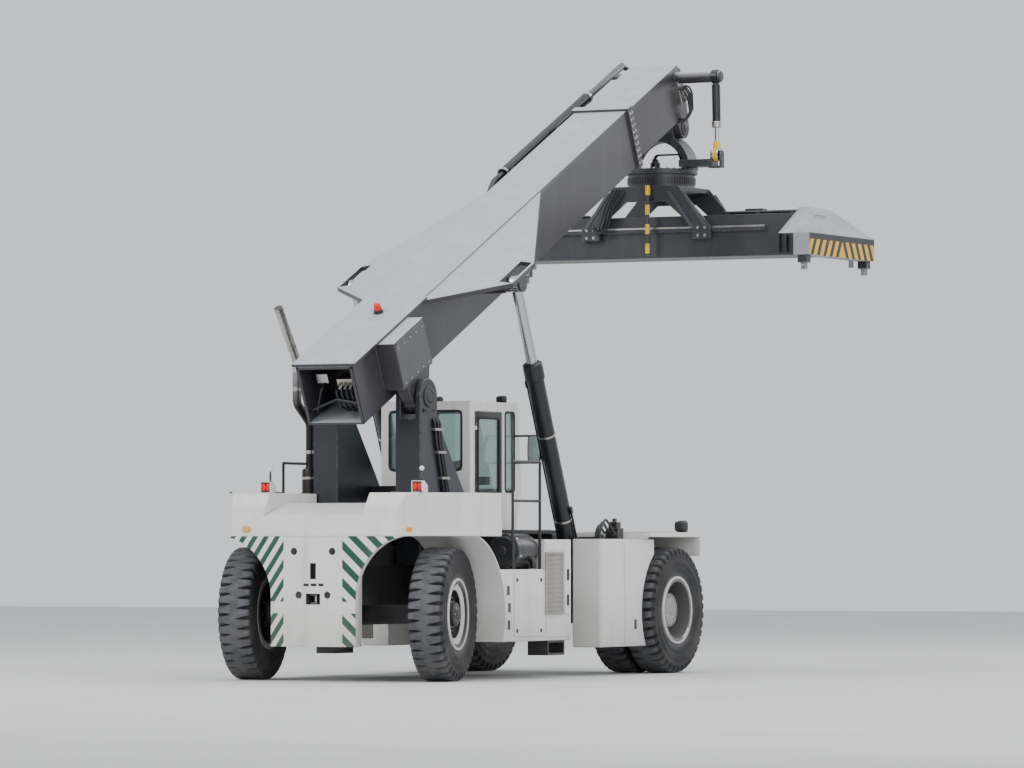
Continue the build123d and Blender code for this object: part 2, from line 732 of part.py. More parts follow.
def outer_boom():
    """Outer boom section with its pivot ears, lift wings, collar and wear pads."""
    half = OUTER_W / 2
    top = OUTER_P + OUTER_D
    boom = tube_a(OUTER_REAR, OUTER_FRONT, half, OUTER_P, top, OUTER_WALL)
    boom += tube_a(OUTER_FRONT - COLLAR_L, OUTER_FRONT, half + COLLAR_T, OUTER_P - COLLAR_T, top + COLLAR_T,
                   COLLAR_T + OUTER_WALL)
    reach = BOOM_GAP - RUN_GAP
    a0, a1 = OUTER_FRONT - PAD_L, OUTER_FRONT - PAD_L / 4
    wall_y = half - OUTER_WALL
    for side in (-1, 1):
        boom += block(a0, a1, side * wall_y, side * (wall_y - reach), OUTER_P + PAD_L, top - PAD_L)
    for wall_p, sign in ((OUTER_P + OUTER_WALL, 1), (top - OUTER_WALL, -1)):
        boom += block(a0, a1, -half + PAD_L, half - PAD_L, wall_p, wall_p + sign * reach)
    cheek = block(CHEEK_REAR, CHEEK_FRONT, half, EAR_OUT_Y, CHEEK_P, CHEEK_TOP_P)
    ear = slab_y([(CHEEK_REAR + 100, CHEEK_P), (-EAR_R, 0), (EAR_R, 0), (CHEEK_FRONT - 100, CHEEK_P)], EAR_IN_Y,
                 EAR_OUT_Y)
    ear += rod_y(0, 0, EAR_R, EAR_IN_Y, EAR_OUT_Y)
    ear -= rod_y(0, 0, PIVOT_PIN_R + RUN_GAP, EAR_IN_Y - 1, EAR_OUT_Y + 1)
    left = cheek + ear + lift_wing()
    boom += block(CHEEK_REAR, CHEEK_FRONT, -EAR_OUT_Y, -half, CHEEK_TOP_P, SIDE_COVER_TOP_P)
    rim = half + TOP_FLANGE
    boom += block(OUTER_REAR, WING_REAR + TOP_FLANGE, -rim, rim, top - OUTER_WALL, top + OUTER_WALL)
    return BOOM_PLACE * (boom + left + left.mirror(Plane.XZ))


def lift_wing():
    """Sloping wing on the boom's side with the fork that the lift cylinder pushes on."""
    half = OUTER_W / 2
    top = OUTER_P + OUTER_D - SIDE_GAP
    fork = LIFT_EYE_W / 2 + LUG_GAP
    outer_y = LIFT_Y + fork + LUG_T
    root = [(WING_REAR, top - WING_T), (WING_FRONT, top - WING_T), (WING_FRONT, top), (WING_REAR, top)]
    tip = [(WING_TIP_REAR, WING_TIP_P - WING_T), (WING_TIP_FRONT, WING_TIP_P - WING_T), (WING_TIP_FRONT, WING_TIP_P),
           (WING_TIP_REAR, WING_TIP_P)]
    faces = [
        Face(Wire.make_polygon([(a, y, p) for a, p in corners], close=True))
        for y, corners in ((half, root), (outer_y, tip))
    ]
    wing = Solid.make_loft([face.outer_wire() for face in faces], True)
    brace = block(LIFT_PIN_A - 200, LIFT_PIN_A + 260, half, LIFT_Y - fork, LIFT_PIN_P - 60, WING_TIP_P - WING_T / 2)
    wing = wing + brace
    wing -= block(WING_TIP_REAR - 1, WING_TIP_FRONT + 1, LIFT_Y - fork, LIFT_Y + fork, 0, top + 1)
    for y in (LIFT_Y - fork - LUG_T, LIFT_Y + fork):
        wing += block(LIFT_PIN_A - LIFT_EYE_R, LIFT_PIN_A + LIFT_EYE_R, y, y + LUG_T, LIFT_PIN_P,
                      WING_TIP_P - WING_T / 2)
        wing += rod_y(LIFT_PIN_A, LIFT_PIN_P, LIFT_EYE_R, y, y + LUG_T)
    return wing


def inner_boom():
    """Inner boom section with its nose, head pin, wear pads and the damping cylinder's bar."""
    margin = OUTER_WALL + BOOM_GAP
    half = OUTER_W / 2 - margin
    low, top = OUTER_P + margin, OUTER_P + OUTER_D - margin
    boom = tube_a(INNER_REAR, INNER_FRONT, half, low, top, INNER_WALL)
    reach = BOOM_GAP - RUN_GAP
    for side in (-1, 1):
        boom += block(INNER_REAR, INNER_REAR + PAD_L, side * half, side * (half + reach), low + PAD_L, top - PAD_L)
    for face_p, sign in ((low, -1), (top, 1)):
        boom += block(INNER_REAR, INNER_REAR + PAD_L, -half + PAD_L, half - PAD_L, face_p, face_p + sign * reach)
    boom += block(INNER_FRONT - NOSE_T, INNER_FRONT, -half, half, low, top)
    nose = [
        (INNER_FRONT, low), (HEAD_A - NOSE_R, HEAD_P), (HEAD_A + NOSE_R, HEAD_P), (NOSE_FRONT, HEAD_P + NOSE_R * 2),
        (NOSE_FRONT, top - NOSE_T), (NOSE_FRONT - NOSE_T, top), (INNER_FRONT, top),
    ]
    for side in (-1, 1):
        boom += slab_y(nose, side * (half - NOSE_T), side * half)
        boom += rod_y(HEAD_A, HEAD_P, NOSE_R, side * (half - NOSE_T), side * half)
    boom += rod_y(HEAD_A, HEAD_P, HEAD_PIN_R, -half - SIDE_GAP, half + SIDE_GAP)
    boom += block(NOSE_FRONT - OUTER_WALL * 2, NOSE_FRONT, -half, half, HEAD_P + NOSE_R * 2, top - NOSE_T)
    boom += block(INNER_FRONT, NOSE_FRONT - NOSE_T, -half, half, top - OUTER_WALL, top)
    eye = DAMPER_EYE_W / 2 + RUN_GAP
    boom += rod_y(BAR_A, BAR_P, BAR_R, -half, -DAMPER_Y + eye)
    boom += rod_y(BAR_A, BAR_P, DAMPER_PIN_R, -DAMPER_Y + eye, -DAMPER_Y - eye)
    boom += rod_y(BAR_A, BAR_P, BAR_R, -DAMPER_Y - eye, -BAR_END_Y)
    return BOOM_PLACE * boom


def rod_a(y, p, radius, a0, a1):
    """Round bar along the boom."""
    return Pos((a0 + a1) / 2, y, p) * Rot(0, 90, 0) * Cylinder(radius, a1 - a0)


def hose_guide():
    """Guide tube on the outer boom's left, with its brackets, and the hose tube that runs in it."""
    half = OUTER_W / 2
    guide = rod_a(HOSE_Y, HOSE_P, HOSE_GUIDE_R, HOSE_GUIDE_REAR, HOSE_GUIDE_FRONT)
    for a in (HOSE_GUIDE_REAR + HOSE_BRACKET_W, OUTER_FRONT - COLLAR_L - HOSE_BRACKET_W * 2):
        guide += block(a, a + HOSE_BRACKET_W, half, HOSE_Y, HOSE_P - HOSE_BRACKET_T / 2, HOSE_P + HOSE_BRACKET_T / 2)
    guide -= rod_a(HOSE_Y, HOSE_P, HOSE_GUIDE_BORE_R, HOSE_GUIDE_REAR - 1, HOSE_GUIDE_FRONT + 1)
    tube = rod_a(HOSE_Y, HOSE_P, HOSE_TUBE_R, HOSE_TUBE_REAR, HOSE_TUBE_FRONT)
    a = NOSE_FRONT - HOSE_BRACKET_W
    nose_y = half - OUTER_WALL - BOOM_GAP
    tube += block(a, a + HOSE_BRACKET_W, nose_y, HOSE_Y, HOSE_P - HOSE_BRACKET_T / 2 - SIDE_GAP * 2,
                  HOSE_P + HOSE_BRACKET_T / 2 - SIDE_GAP * 2)
    return BOOM_PLACE * guide, BOOM_PLACE * tube


def between(start, end, shape):
    """Turn a part built along +Z at the origin so that it runs from start towards end."""
    direction = Vector(*end) - Vector(*start)
    angle = math.degrees(math.atan2(direction.X, direction.Z))
    return Pos(*start) * Rot(0, angle, 0) * shape


def boom_point(a, y, p):
    """A point of the boom's own frame in the machine's frame."""
    c, s = math.cos(math.radians(BOOM_ANGLE)), math.sin(math.radians(BOOM_ANGLE))
    return (PIVOT_X + a * c - p * s, y, PIVOT_Z + a * s + p * c)


def cylinder_parts(length, barrel, bore, rod, barrel_l, rod_l, gland, eye_r, eye_w, pin_r):
    """Barrel with its bored foot eye and rod with its head eye, along +Z, pins length apart."""
    base = eye_r * 1.2
    body = rod_z(0, 0, barrel, base, barrel_l) - rod_z(0, 0, bore, base + gland / 2, barrel_l - gland)
    body -= rod_z(0, 0, rod + RUN_GAP, base + gland / 2, barrel_l + 1)
    body += rod_z(0, 0, eye_w / 2, 0, base)
    body += rod_y(0, 0, eye_r, -eye_w / 2, eye_w / 2)
    body -= rod_y(0, 0, pin_r + RUN_GAP, -eye_w, eye_w)
    stem = rod_z(0, 0, rod, length - rod_l, length)
    stem += rod_z(0, 0, bore - RUN_GAP, length - rod_l, length - rod_l + gland)
    stem += rod_y(0, length, eye_r, -eye_w / 2, eye_w / 2)
    return body, stem


def lift_cylinder(side):
    """Lift cylinder from its foot on the chassis to the boom's wing."""
    foot = (FOOT_X, side * LIFT_Y, FOOT_Z)
    head = boom_point(LIFT_PIN_A, side * LIFT_Y, LIFT_PIN_P)
    length = math.dist(foot, head)
    parts = cylinder_parts(length, LIFT_BARREL_R, LIFT_BORE_R, LIFT_ROD_R, LIFT_BARREL_L, LIFT_ROD_L, LIFT_GLAND,
                           LIFT_EYE_R, LIFT_EYE_W, FOOT_PIN_R)
    return [between(foot, head, part) for part in parts]


def damper():
    """Damping cylinder from the boom head's bar down to the hanger's bracket."""
    head = boom_point(BAR_A, -DAMPER_Y, BAR_P)
    foot = (SPREADER_X + DAMPER_FOOT_X, -DAMPER_Y, HEAD_Z - DAMPER_FOOT_DROP)
    length = math.dist(foot, head)
    parts = cylinder_parts(length, DAMPER_R, DAMPER_BORE_R, DAMPER_ROD_R, DAMPER_BARREL_L, DAMPER_ROD_L,
                           DAMPER_ROD_R, DAMPER_EYE_R, DAMPER_EYE_W, DAMPER_PIN_R)
    return [between(head, foot, part) for part in parts]


def hanger():
    """Hanger on the head pin: an arched yoke on the round plate above the slewing ring."""
    x0, x1 = SPREADER_X - HANGER_HALF_L, SPREADER_X + HANGER_HALF_L
    yoke = rod_x(0, YOKE_Z, YOKE_R, x0, x1) & block(x0, x1, -YOKE_R, YOKE_R, YOKE_Z, YOKE_Z + YOKE_R)
    neck = block(x0, x1, -HANGER_HALF_W, HANGER_HALF_W, YOKE_Z + YOKE_OPENING_R - 10, HEAD_Z)
    body = yoke + neck + rod_y(SPREADER_X, HEAD_Z, HANGER_HUB_R, -HANGER_HALF_W, HANGER_HALF_W)
    body -= rod_x(0, YOKE_Z, YOKE_OPENING_R, x0 - 1, x1 + 1)
    body -= rod_y(SPREADER_X, HEAD_Z, HEAD_PIN_R + RUN_GAP, -HANGER_HALF_W - 1, HANGER_HALF_W + 1)
    body += rod_z(SPREADER_X, 0, SLEW_PLATE_R, YOKE_Z - SLEW_PLATE_T, YOKE_Z)
    foot_x, foot_z = SPREADER_X + DAMPER_FOOT_X, HEAD_Z - DAMPER_FOOT_DROP
    half = DAMPER_EYE_W / 2 + LUG_GAP
    arm_z = YOKE_Z + SIDE_GAP
    body += block(foot_x - 90, SPREADER_X, -DAMPER_Y + half + LUG_T, -YOKE_OPENING_R - 20, arm_z, arm_z + 110)
    for y in (-DAMPER_Y - half - LUG_T, -DAMPER_Y + half):
        body += block(foot_x - 60, foot_x + 60, y, y + LUG_T, arm_z, foot_z)
        body += rod_y(foot_x, foot_z, 60, y, y + LUG_T)
    body += block(foot_x - 60, foot_x + 60, -DAMPER_Y - half - LUG_T, -DAMPER_Y + half + LUG_T, arm_z - 30, arm_z)
    body += block(foot_x - 60, foot_x + 60, -DAMPER_Y + half, -DAMPER_Y + half + LUG_T * 2, arm_z - 30, arm_z + 110)
    return body


def rotator():
    """Slewing ring and the side-shift frame that hangs from it."""
    x = SPREADER_X
    plate_z = RING_TOP - RING_H
    body = rod_z(x, 0, RING_R, plate_z, RING_TOP)
    half_l = BEAM_HALF_W + RAIL_OUT + SIDE_GAP
    body += block(x - half_l - CLAW_T, x + half_l + CLAW_T, -TOP_PLATE / 2, TOP_PLATE / 2, plate_z - TOP_PLATE_T,
                  plate_z)
    leg = [
        (TOP_PLATE / 2, plate_z), (FRAME_FOOT_Y, RAIL_Z + RAIL_H), (FRAME_FOOT_Y, RAIL_Z - CLAW_H),
        (FRAME_FOOT_Y - FRAME_FOOT_W, RAIL_Z - CLAW_H), (FRAME_FOOT_Y - FRAME_FOOT_W, RAIL_Z + RAIL_H),
        (TOP_PLATE / 2 - 220, plate_z - TOP_PLATE_T * 3), (0, plate_z - TOP_PLATE_T * 3), (0, plate_z),
    ]
    for end in (-1, 1):
        x0, x1 = sorted((x + end * half_l, x + end * (half_l + CLAW_T)))
        side_plate = slab_x(leg, x0, x1)
        h0, h1 = sorted((x + end * (BEAM_HALF_W + SIDE_GAP), x + end * half_l))
        claw = block(h0, h1, FRAME_FOOT_Y - FRAME_FOOT_W, FRAME_FOOT_Y, RAIL_Z - CLAW_H, RAIL_Z - RUN_GAP)
        half_frame = side_plate + claw
        body += half_frame + half_frame.mirror(Plane.XZ)
    return body


def marker_post():
    """Striped centre post on the back of the side-shift frame."""
    face = SPREADER_X - BEAM_HALF_W - RAIL_OUT - SIDE_GAP - CLAW_T
    plate_z = RING_TOP - RING_H
    post = rod_z(face - POST_R * 2, POST_Y, POST_R, POST_BOTTOM, POST_TOP)
    post += block(face - POST_R * 2, face, POST_Y - POST_R / 2, POST_Y + POST_R / 2, plate_z - TOP_PLATE_T * 2,
                  plate_z - SIDE_GAP)
    return post


def spreader_beam():
    """Main spreader beam: two open tubes side by side, with the side-shift rails."""
    x = SPREADER_X
    beam = block(x - BEAM_HALF_W, x + BEAM_HALF_W, -BEAM_HALF_L, BEAM_HALF_L, BEAM_BOTTOM, BEAM_TOP)
    for end in (-1, 1):
        x0, x1 = sorted((x + end * BEAM_WEB / 2, x + end * (BEAM_HALF_W - BEAM_WALL)))
        beam -= block(x0, x1, -BEAM_HALF_L - 1, BEAM_HALF_L + 1, BEAM_BOTTOM + BEAM_WALL, BEAM_TOP - BEAM_WALL)
        r0, r1 = sorted((x + end * BEAM_HALF_W, x + end * (BEAM_HALF_W + RAIL_OUT)))
        beam += block(r0, r1, -BEAM_HALF_L * 0.8, BEAM_HALF_L * 0.8, RAIL_Z, RAIL_Z + RAIL_H)
    return beam


def arm(side):
    """Telescopic arm with its end beam, sloping cover and two twistlocks."""
    x = SPREADER_X
    end = side
    x0, x1 = sorted((x + end * (BEAM_WEB / 2 + ARM_GAP), x + end * (BEAM_HALF_W - BEAM_WALL - ARM_GAP)))
    z0, z1 = BEAM_BOTTOM + BEAM_WALL + ARM_GAP, BEAM_TOP - BEAM_WALL - ARM_GAP
    in_y = END_BEAM_OUT_Y - END_BEAM_W
    body = block(x0, x1, -ARM_INNER_Y, in_y, z0, z1)
    body -= block(x0 + ARM_WALL, x1 - ARM_WALL, -ARM_INNER_Y - 1, in_y + 1, z0 + ARM_WALL, z1 - ARM_WALL)
    half = END_BEAM_L / 2
    wall = END_BEAM_WALL
    end_beam = block(x - half, x + half, in_y, END_BEAM_OUT_Y, END_BEAM_BOTTOM, END_BEAM_TOP)
    end_beam -= block(x - half + wall, x + half - wall, in_y + wall, END_BEAM_OUT_Y - wall,
                      END_BEAM_BOTTOM + wall, END_BEAM_TOP - wall)
    body += end_beam + (cover() - block(x0, x1, COVER_IN_Y - 1, in_y, z0, z1))
    pad = ARM_GAP - RUN_GAP
    body += block(x0, x1, -ARM_INNER_Y, -ARM_INNER_Y + PAD_L, z1, z1 + pad)
    body += block(x0, x1, -ARM_INNER_Y, -ARM_INNER_Y + PAD_L, z0 - pad, z0)
    box = LOCK_BOX / 2
    for lock in (-1, 1):
        lx = x + lock * LOCK_X
        body += block(lx - box, lx + box, LOCK_Y - box, LOCK_Y + box, LOCK_FACE_Z, END_BEAM_BOTTOM)
        body += rod_z(lx, LOCK_Y, LOCK_R, LOCK_FACE_Z - LOCK_DROP, LOCK_FACE_Z)
        body += lifting_eye(x + lock * EYE_X, in_y)
    return mirrored(body, side)


def lifting_eye(x, y):
    """Eye plate under the end beam for a chain sling's shackle."""
    half = EYE_PLATE / 2
    plate = block(x - half, x + half, y, y + LUG_T, EYE_Z - half + LUG_GAP, END_BEAM_BOTTOM)
    return plate - rod_y(x, EYE_Z, EYE_R, y - 1, y + LUG_T + 1)


def cover():
    """Hipped sheet cover from the end beam up to the arm."""
    x = SPREADER_X
    shells = []
    for inset in (0, COVER_WALL):
        half_low = END_BEAM_L / 2 - inset * 3
        half_top = COVER_TOP_HALF_L - inset
        y0 = COVER_IN_Y + inset
        wires = []
        for half, y1, z in ((half_low, END_BEAM_OUT_Y - inset * 2, END_BEAM_TOP - inset / 12),
                            (half_top, COVER_IN_Y + COVER_TOP_W - inset, COVER_TOP - inset)):
            corners = ((x - half, y0), (x + half, y0), (x + half, y1), (x - half, y1))
            wires.append(Wire.make_polygon([(px, py, z) for px, py in corners], close=True))
        shells.append(Solid.make_loft(wires, True))
    return shells[0] - shells[1]


def cab_outline(inset):
    """Side outline of the cab, drawn in by a wall thickness."""
    return [
        (CAB_REAR_X + inset, CAB_FLOOR + inset),
        (CAB_FRONT_X - CAB_LEAN * 2 - inset, CAB_FLOOR + inset),
        (CAB_FRONT_X - inset, CAB_FLOOR + CAB_BEND),
        (CAB_FRONT_X - CAB_LEAN - inset, CAB_ROOF - inset),
        (CAB_REAR_X + inset, CAB_ROOF - inset),
    ]


def cab_shell():
    """Hollow cab with its window openings and the doorway on the right, on two deck plates."""
    inner = CAB_HALF_W - CAB_WALL
    shell = slab_y(cab_outline(0), -CAB_HALF_W, CAB_HALF_W) - slab_y(cab_outline(CAB_WALL), -inner, inner)
    for cut in window_cuts():
        shell -= cut
    shell -= block(DOOR_REAR_X, DOOR_FRONT_X, -CAB_HALF_W - 1, -inner + 1, DOOR_BOTTOM, DOOR_TOP)
    for z in (DOOR_BOTTOM + PILLAR * 2, DOOR_TOP - PILLAR * 3):
        y = -CAB_HALF_W - HINGE_OUT
        shell += rod_z(DOOR_REAR_X + DOOR_GAP, y, HINGE_R, z, z + HINGE_L) + block(
            DOOR_REAR_X - HINGE_R * 2, DOOR_REAR_X, -CAB_HALF_W, y, z, z + HINGE_L)
    return shell


def window_cuts():
    """Openings of the fixed windows: front, rear, roof, left side and right front."""
    inner = CAB_HALF_W - CAB_WALL
    rim = PILLAR
    low = CAB_SILL
    top = CAB_ROOF - rim - CAB_WALL
    return [
        block(CAB_FRONT_X - 300, CAB_FRONT_X + 1, -inner + rim, inner - rim, CAB_FLOOR + 600, top),
        block(CAB_REAR_X - 1, CAB_REAR_X + CAB_WALL + 1, -inner + rim, inner - rim, low, top),
        block(CAB_REAR_X + 300, CAB_FRONT_X - 300, -inner + rim, inner - rim, CAB_ROOF - CAB_WALL - 1, CAB_ROOF + 1),
        block(CAB_REAR_X + CAB_WALL + rim, CAB_FRONT_X - 220, inner - 1, CAB_HALF_W + 1, low - 300, top),
        block(DOOR_FRONT_X + rim, CAB_FRONT_X - 220, -CAB_HALF_W - 1, -inner + 1, low - 300, top),
    ]


def cab_glass():
    """One pane in each fixed window opening, in the middle of the wall."""
    mid = (CAB_WALL - GLASS_T) / 2
    inner = CAB_HALF_W - CAB_WALL
    skins = [
        slab_y(cab_outline(mid), -inner - mid, inner + mid) - slab_y(cab_outline(mid + GLASS_T), -inner, inner),
    ]
    side_pane = [
        block(CAB_REAR_X, CAB_FRONT_X, side * (inner + mid), side * (inner + mid + GLASS_T), CAB_FLOOR, CAB_ROOF)
        for side in (-1, 1)
    ]
    front, rear, roof, left, right = window_cuts()
    return [front & skins[0], rear & skins[0], roof & skins[0], left & side_pane[1], right & side_pane[0]]


def door_parts():
    """Door frame with its hinge barrels, and its pane."""
    inner = CAB_HALF_W - CAB_WALL
    x0, x1 = DOOR_REAR_X + DOOR_GAP, DOOR_FRONT_X - DOOR_GAP
    z0, z1 = DOOR_BOTTOM + DOOR_GAP, DOOR_TOP - DOOR_GAP
    door = block(x0, x1, -CAB_HALF_W, -inner, z0, z1)
    hole = block(x0 + DOOR_FRAME, x1 - DOOR_FRAME, -CAB_HALF_W - 1, -inner + 1, z0 + DOOR_FRAME * 5, z1 - DOOR_FRAME)
    door -= hole
    for z in (DOOR_BOTTOM + PILLAR * 2, DOOR_TOP - PILLAR * 3):
        y = -CAB_HALF_W - HINGE_OUT
        bottom = z + HINGE_L + RUN_GAP
        door += rod_z(x0, y, HINGE_R, bottom, bottom + HINGE_L)
        door += block(x0, x0 + HINGE_R * 2, y, -CAB_HALF_W, bottom, bottom + HINGE_L)
    mid = (CAB_WALL - GLASS_T) / 2
    pane = hole & block(x0, x1, -inner - mid - GLASS_T, -inner - mid, z0, z1)
    return door, pane


def operator_seat():
    """Seat on its pedestal, with its back and two armrests."""
    x, floor = CAB_REAR_X + SEAT_X, CAB_FLOOR + CAB_WALL
    half = SEAT_L / 2
    top = floor + SEAT_H + SEAT_PAD
    seat = rod_z(x, 0, PEDESTAL_R, floor, floor + SEAT_H)
    seat += block(x - half, x + half, -SEAT_W / 2, SEAT_W / 2, floor + SEAT_H, top)
    back = [
        (x - half, top), (x - half + SEAT_PAD, top), (x - half + SEAT_PAD - SEAT_LEAN, top + SEAT_BACK_H),
        (x - half - SEAT_LEAN, top + SEAT_BACK_H),
    ]
    seat += slab_y(back, -SEAT_W / 2, SEAT_W / 2)
    arm_top = floor + ARMREST_Z + ARMREST_T
    for side in (-1, 1):
        y0, y1 = side * SEAT_W / 2, side * (SEAT_W / 2 + ARMREST_T)
        seat += block(x - ARMREST_L / 2, x + ARMREST_L / 2, y0, y1, floor + ARMREST_Z, arm_top)
        seat += block(x - ARMREST_L / 2, x - ARMREST_L / 2 + ARMREST_T, y0, y1, floor + SEAT_H, arm_top)
    return seat


def console():
    """Dash on its pillar, with the steering column and wheel."""
    x, floor = CAB_FRONT_X - CONSOLE_X, CAB_FLOOR + CAB_WALL
    half = CONSOLE_T / 2
    top = floor + CONSOLE_H + CONSOLE_T
    base = block(x - half, x + half, -CONSOLE_W / 2, CONSOLE_W / 2, floor, floor + CONSOLE_H)
    base += block(x - half, x + half, -DASH_W / 2, DASH_W / 2, floor + CONSOLE_H, top)
    column = Pos(0, 0, COLUMN_L / 2) * Cylinder(COLUMN_R, COLUMN_L)
    column += Pos(0, 0, COLUMN_L) * Torus(WHEEL_R, WHEEL_RIM_R)
    column += Pos(0, 0, COLUMN_L) * Cylinder(WHEEL_R + WHEEL_RIM_R / 2, WHEEL_RIM_R / 2)
    return base + Pos(x - half, 0, top - half) * Rot(0, -WHEEL_TILT, 0) * column


def engine():
    """Engine as one plain block on the rear frame."""
    y = ENGINE_W / 2
    return block(ENGINE_REAR_X, ENGINE_REAR_X + ENGINE_L, -y, y, REAR_RAIL_BOTTOM, REAR_RAIL_BOTTOM + ENGINE_H)


def air_cleaner():
    """Drum of the air cleaner lying on the right service box, on two saddles."""
    y = -(BOX_IN_Y + BOX_OUT_Y) / 2
    z = BOX_LOW_TOP + DRUM_R + SIDE_GAP
    x0 = BOX_STEP_X - DRUM_BACK
    drum = rod_x(y, z, DRUM_R, x0, x0 + DRUM_L) + rod_x(y, z, DRUM_R - DRUM_CAP, x0 - DRUM_CAP, x0)
    for x in (x0 + SADDLE_T, x0 + DRUM_L - SADDLE_T * 2):
        drum += block(x, x + SADDLE_T, y - DRUM_R * 0.6, y + DRUM_R * 0.6, BOX_LOW_TOP, z)
    return drum


def pipe(route, radius):
    """Round bar through the points of a route, with a ball at each bend."""
    body = Pos(*route[1]) * Sphere(radius)
    for point in route[2:-1]:
        body += Pos(*point) * Sphere(radius)
    for start, end in zip(route, route[1:]):
        run = Vector(*end) - Vector(*start)
        body += Plane(origin=start, z_dir=run) * Pos(0, 0, run.length / 2) * Cylinder(radius, run.length)
    return body


def exhaust():
    """Exhaust on the left service box: silencer, riser and the kinked pipe beside the boom."""
    x = BOX_STEP_X - EXHAUST_BACK
    y = (BOX_IN_Y + BOX_OUT_Y) / 2
    route = [
        (x, y, SILENCER_TOP - EXHAUST_R),
        (x, y, KNEE_LOW_Z),
        (x - KNEE_BACK, y + KNEE_OUT, KNEE_TOP_Z),
        (x - KNEE_BACK, y + KNEE_OUT, PIPE_BEND_Z),
        (x - KNEE_BACK - PIPE_LEAN, y + KNEE_OUT, PIPE_TOP_Z),
    ]
    return rod_z(x, y, SILENCER_R, BOX_LOW_TOP, SILENCER_TOP) + pipe(route, EXHAUST_R)


def handrails():
    """Rails at the access steps, one on each service box."""
    rails = []
    ends = (BOX_REAR_X + HANDRAIL_BACK, BOX_STEP_X - HANDRAIL_R * 2)
    for side in (-1, 1):
        y = side * (BOX_OUT_Y - HANDRAIL_R * 3)
        route = [(ends[0], y, BOX_LOW_TOP), (ends[0], y, HANDRAIL_TOP_Z), (ends[1], y, HANDRAIL_TOP_Z),
                 (ends[1], y, BOX_LOW_TOP)]
        rails.append(pipe(route, HANDRAIL_R) + rod_x(y, HANDRAIL_MID_Z, HANDRAIL_R, *ends))
    return rails


def access_steps():
    """Hanging step under both service boxes."""
    steps = []
    x0, x1 = BOX_STEP_X + STEP_INSET, BOX_FRONT_X - STEP_INSET
    for side in (-1, 1):
        y0, y1 = side * (BOX_OUT_Y - STEP_IN), side * (BOX_OUT_Y - STEP_T)
        step = block(x0, x1, y0, y1, BOX_BOTTOM - STEP_T, BOX_BOTTOM)
        for x in (x0, x1 - STEP_T):
            step += block(x, x + STEP_T, y0, y1, BOX_BOTTOM - STEP_DROP, BOX_BOTTOM)
        step += block(x0, x1, y0, y1, BOX_BOTTOM - STEP_DROP, BOX_BOTTOM - STEP_DROP + STEP_T)
        steps.append(step)
    return steps


def tail_lamps():
    """Rear lamp boxes on the hood, each with a small round lamp on a post behind it."""
    lamps = []
    for side in (-1, 1):
        y = side * LAMP_Y
        half = LAMP_SIZE / 2
        lamp = block(LAMP_X - half, LAMP_X + half, y - half, y + half, HOOD_TOP, HOOD_TOP + LAMP_SIZE)
        post_x = LAMP_X + half
        lamp += rod_z(post_x, y, LAMP_POST_R / 2, HOOD_TOP + LAMP_SIZE - LUG_GAP, HOOD_TOP + LAMP_SIZE + LAMP_POST_H)
        lamps.append(lamp + Pos(post_x, y, HOOD_TOP + LAMP_SIZE + LAMP_POST_H) * Sphere(LAMP_POST_R))
    return lamps


def beacon():
    """Flashing beacon on the boom's top plate."""
    top = OUTER_P + OUTER_D + OUTER_WALL
    lamp = Pos(BEACON_A, 0, top + BEACON_H / 6) * Cylinder(BEACON_BASE_R, BEACON_H / 3)
    lamp += Pos(BEACON_A, 0, top + BEACON_H / 2) * Cylinder(BEACON_R, BEACON_H)
    return BOOM_PLACE * lamp


def louvre(side):
    """Louvred air outlet on the outer wall of a service box."""
    frame = LOUVRE_T * 2
    face_y = BOX_OUT_Y + LOUVRE_T
    panel = block(LOUVRE_REAR_X, LOUVRE_FRONT_X, BOX_OUT_Y, face_y, LOUVRE_BOTTOM, LOUVRE_TOP)
    panel -= block(LOUVRE_REAR_X + frame, LOUVRE_FRONT_X - frame, BOX_OUT_Y + LOUVRE_T / 4, face_y + 1,
                   LOUVRE_BOTTOM + frame, LOUVRE_TOP - frame)
    pitch = (LOUVRE_TOP - LOUVRE_BOTTOM - frame * 2) / LOUVRE_SLATS
    back_y = BOX_OUT_Y + LOUVRE_T / 4 - 1
    for i in range(LOUVRE_SLATS):
        z = LOUVRE_BOTTOM + frame + pitch * i
        slat = [(back_y, z + pitch), (face_y, z + pitch * 0.2), (back_y, z)]
        panel += slab_x(slat, LOUVRE_REAR_X + frame - 1, LOUVRE_FRONT_X - frame + 1)
    return mirrored(panel, side)


def mirror(side):
    """Mirror head on a bent arm from the cab's front corner."""
    y = CAB_HALF_W + MIRROR_OUT
    head = block(MIRROR_X, MIRROR_X + MIRROR_T, y - MIRROR_W / 2, y + MIRROR_W / 2, MIRROR_Z, MIRROR_Z + MIRROR_H)
    x = MIRROR_X + MIRROR_T / 2
    for z in (MIRROR_Z + MIRROR_ARM_R, MIRROR_Z + MIRROR_H - MIRROR_ARM_R):
        head += rod_y(x, z, MIRROR_ARM_R, CAB_HALF_W, y - MIRROR_W / 2 + LUG_GAP)
    return mirrored(head, side)


def work_lamps():
    """Work lamps on the cab's roof and at the front of the fenders."""
    lamps = []
    for side in (-1, 1):
        y = side * WORK_LAMP_Y
        x = CAB_FRONT_X - CAB_LEAN * 2 - WORK_LAMP_W
        lamps.append(block(x, x + WORK_LAMP_H, y - WORK_LAMP_W / 2, y + WORK_LAMP_W / 2, CAB_ROOF,
                           CAB_ROOF + WORK_LAMP_H))
        y = side * FENDER_LAMP_Y
        half = FENDER_LAMP_SIZE / 2
        top = DECK_TOP + FENDER_T
        lamps.append(block(FENDER_FRONT_X - FENDER_LAMP_SIZE, FENDER_FRONT_X - LUG_GAP, y - half, y + half, top,
                           top + FENDER_LAMP_SIZE))
    return lamps


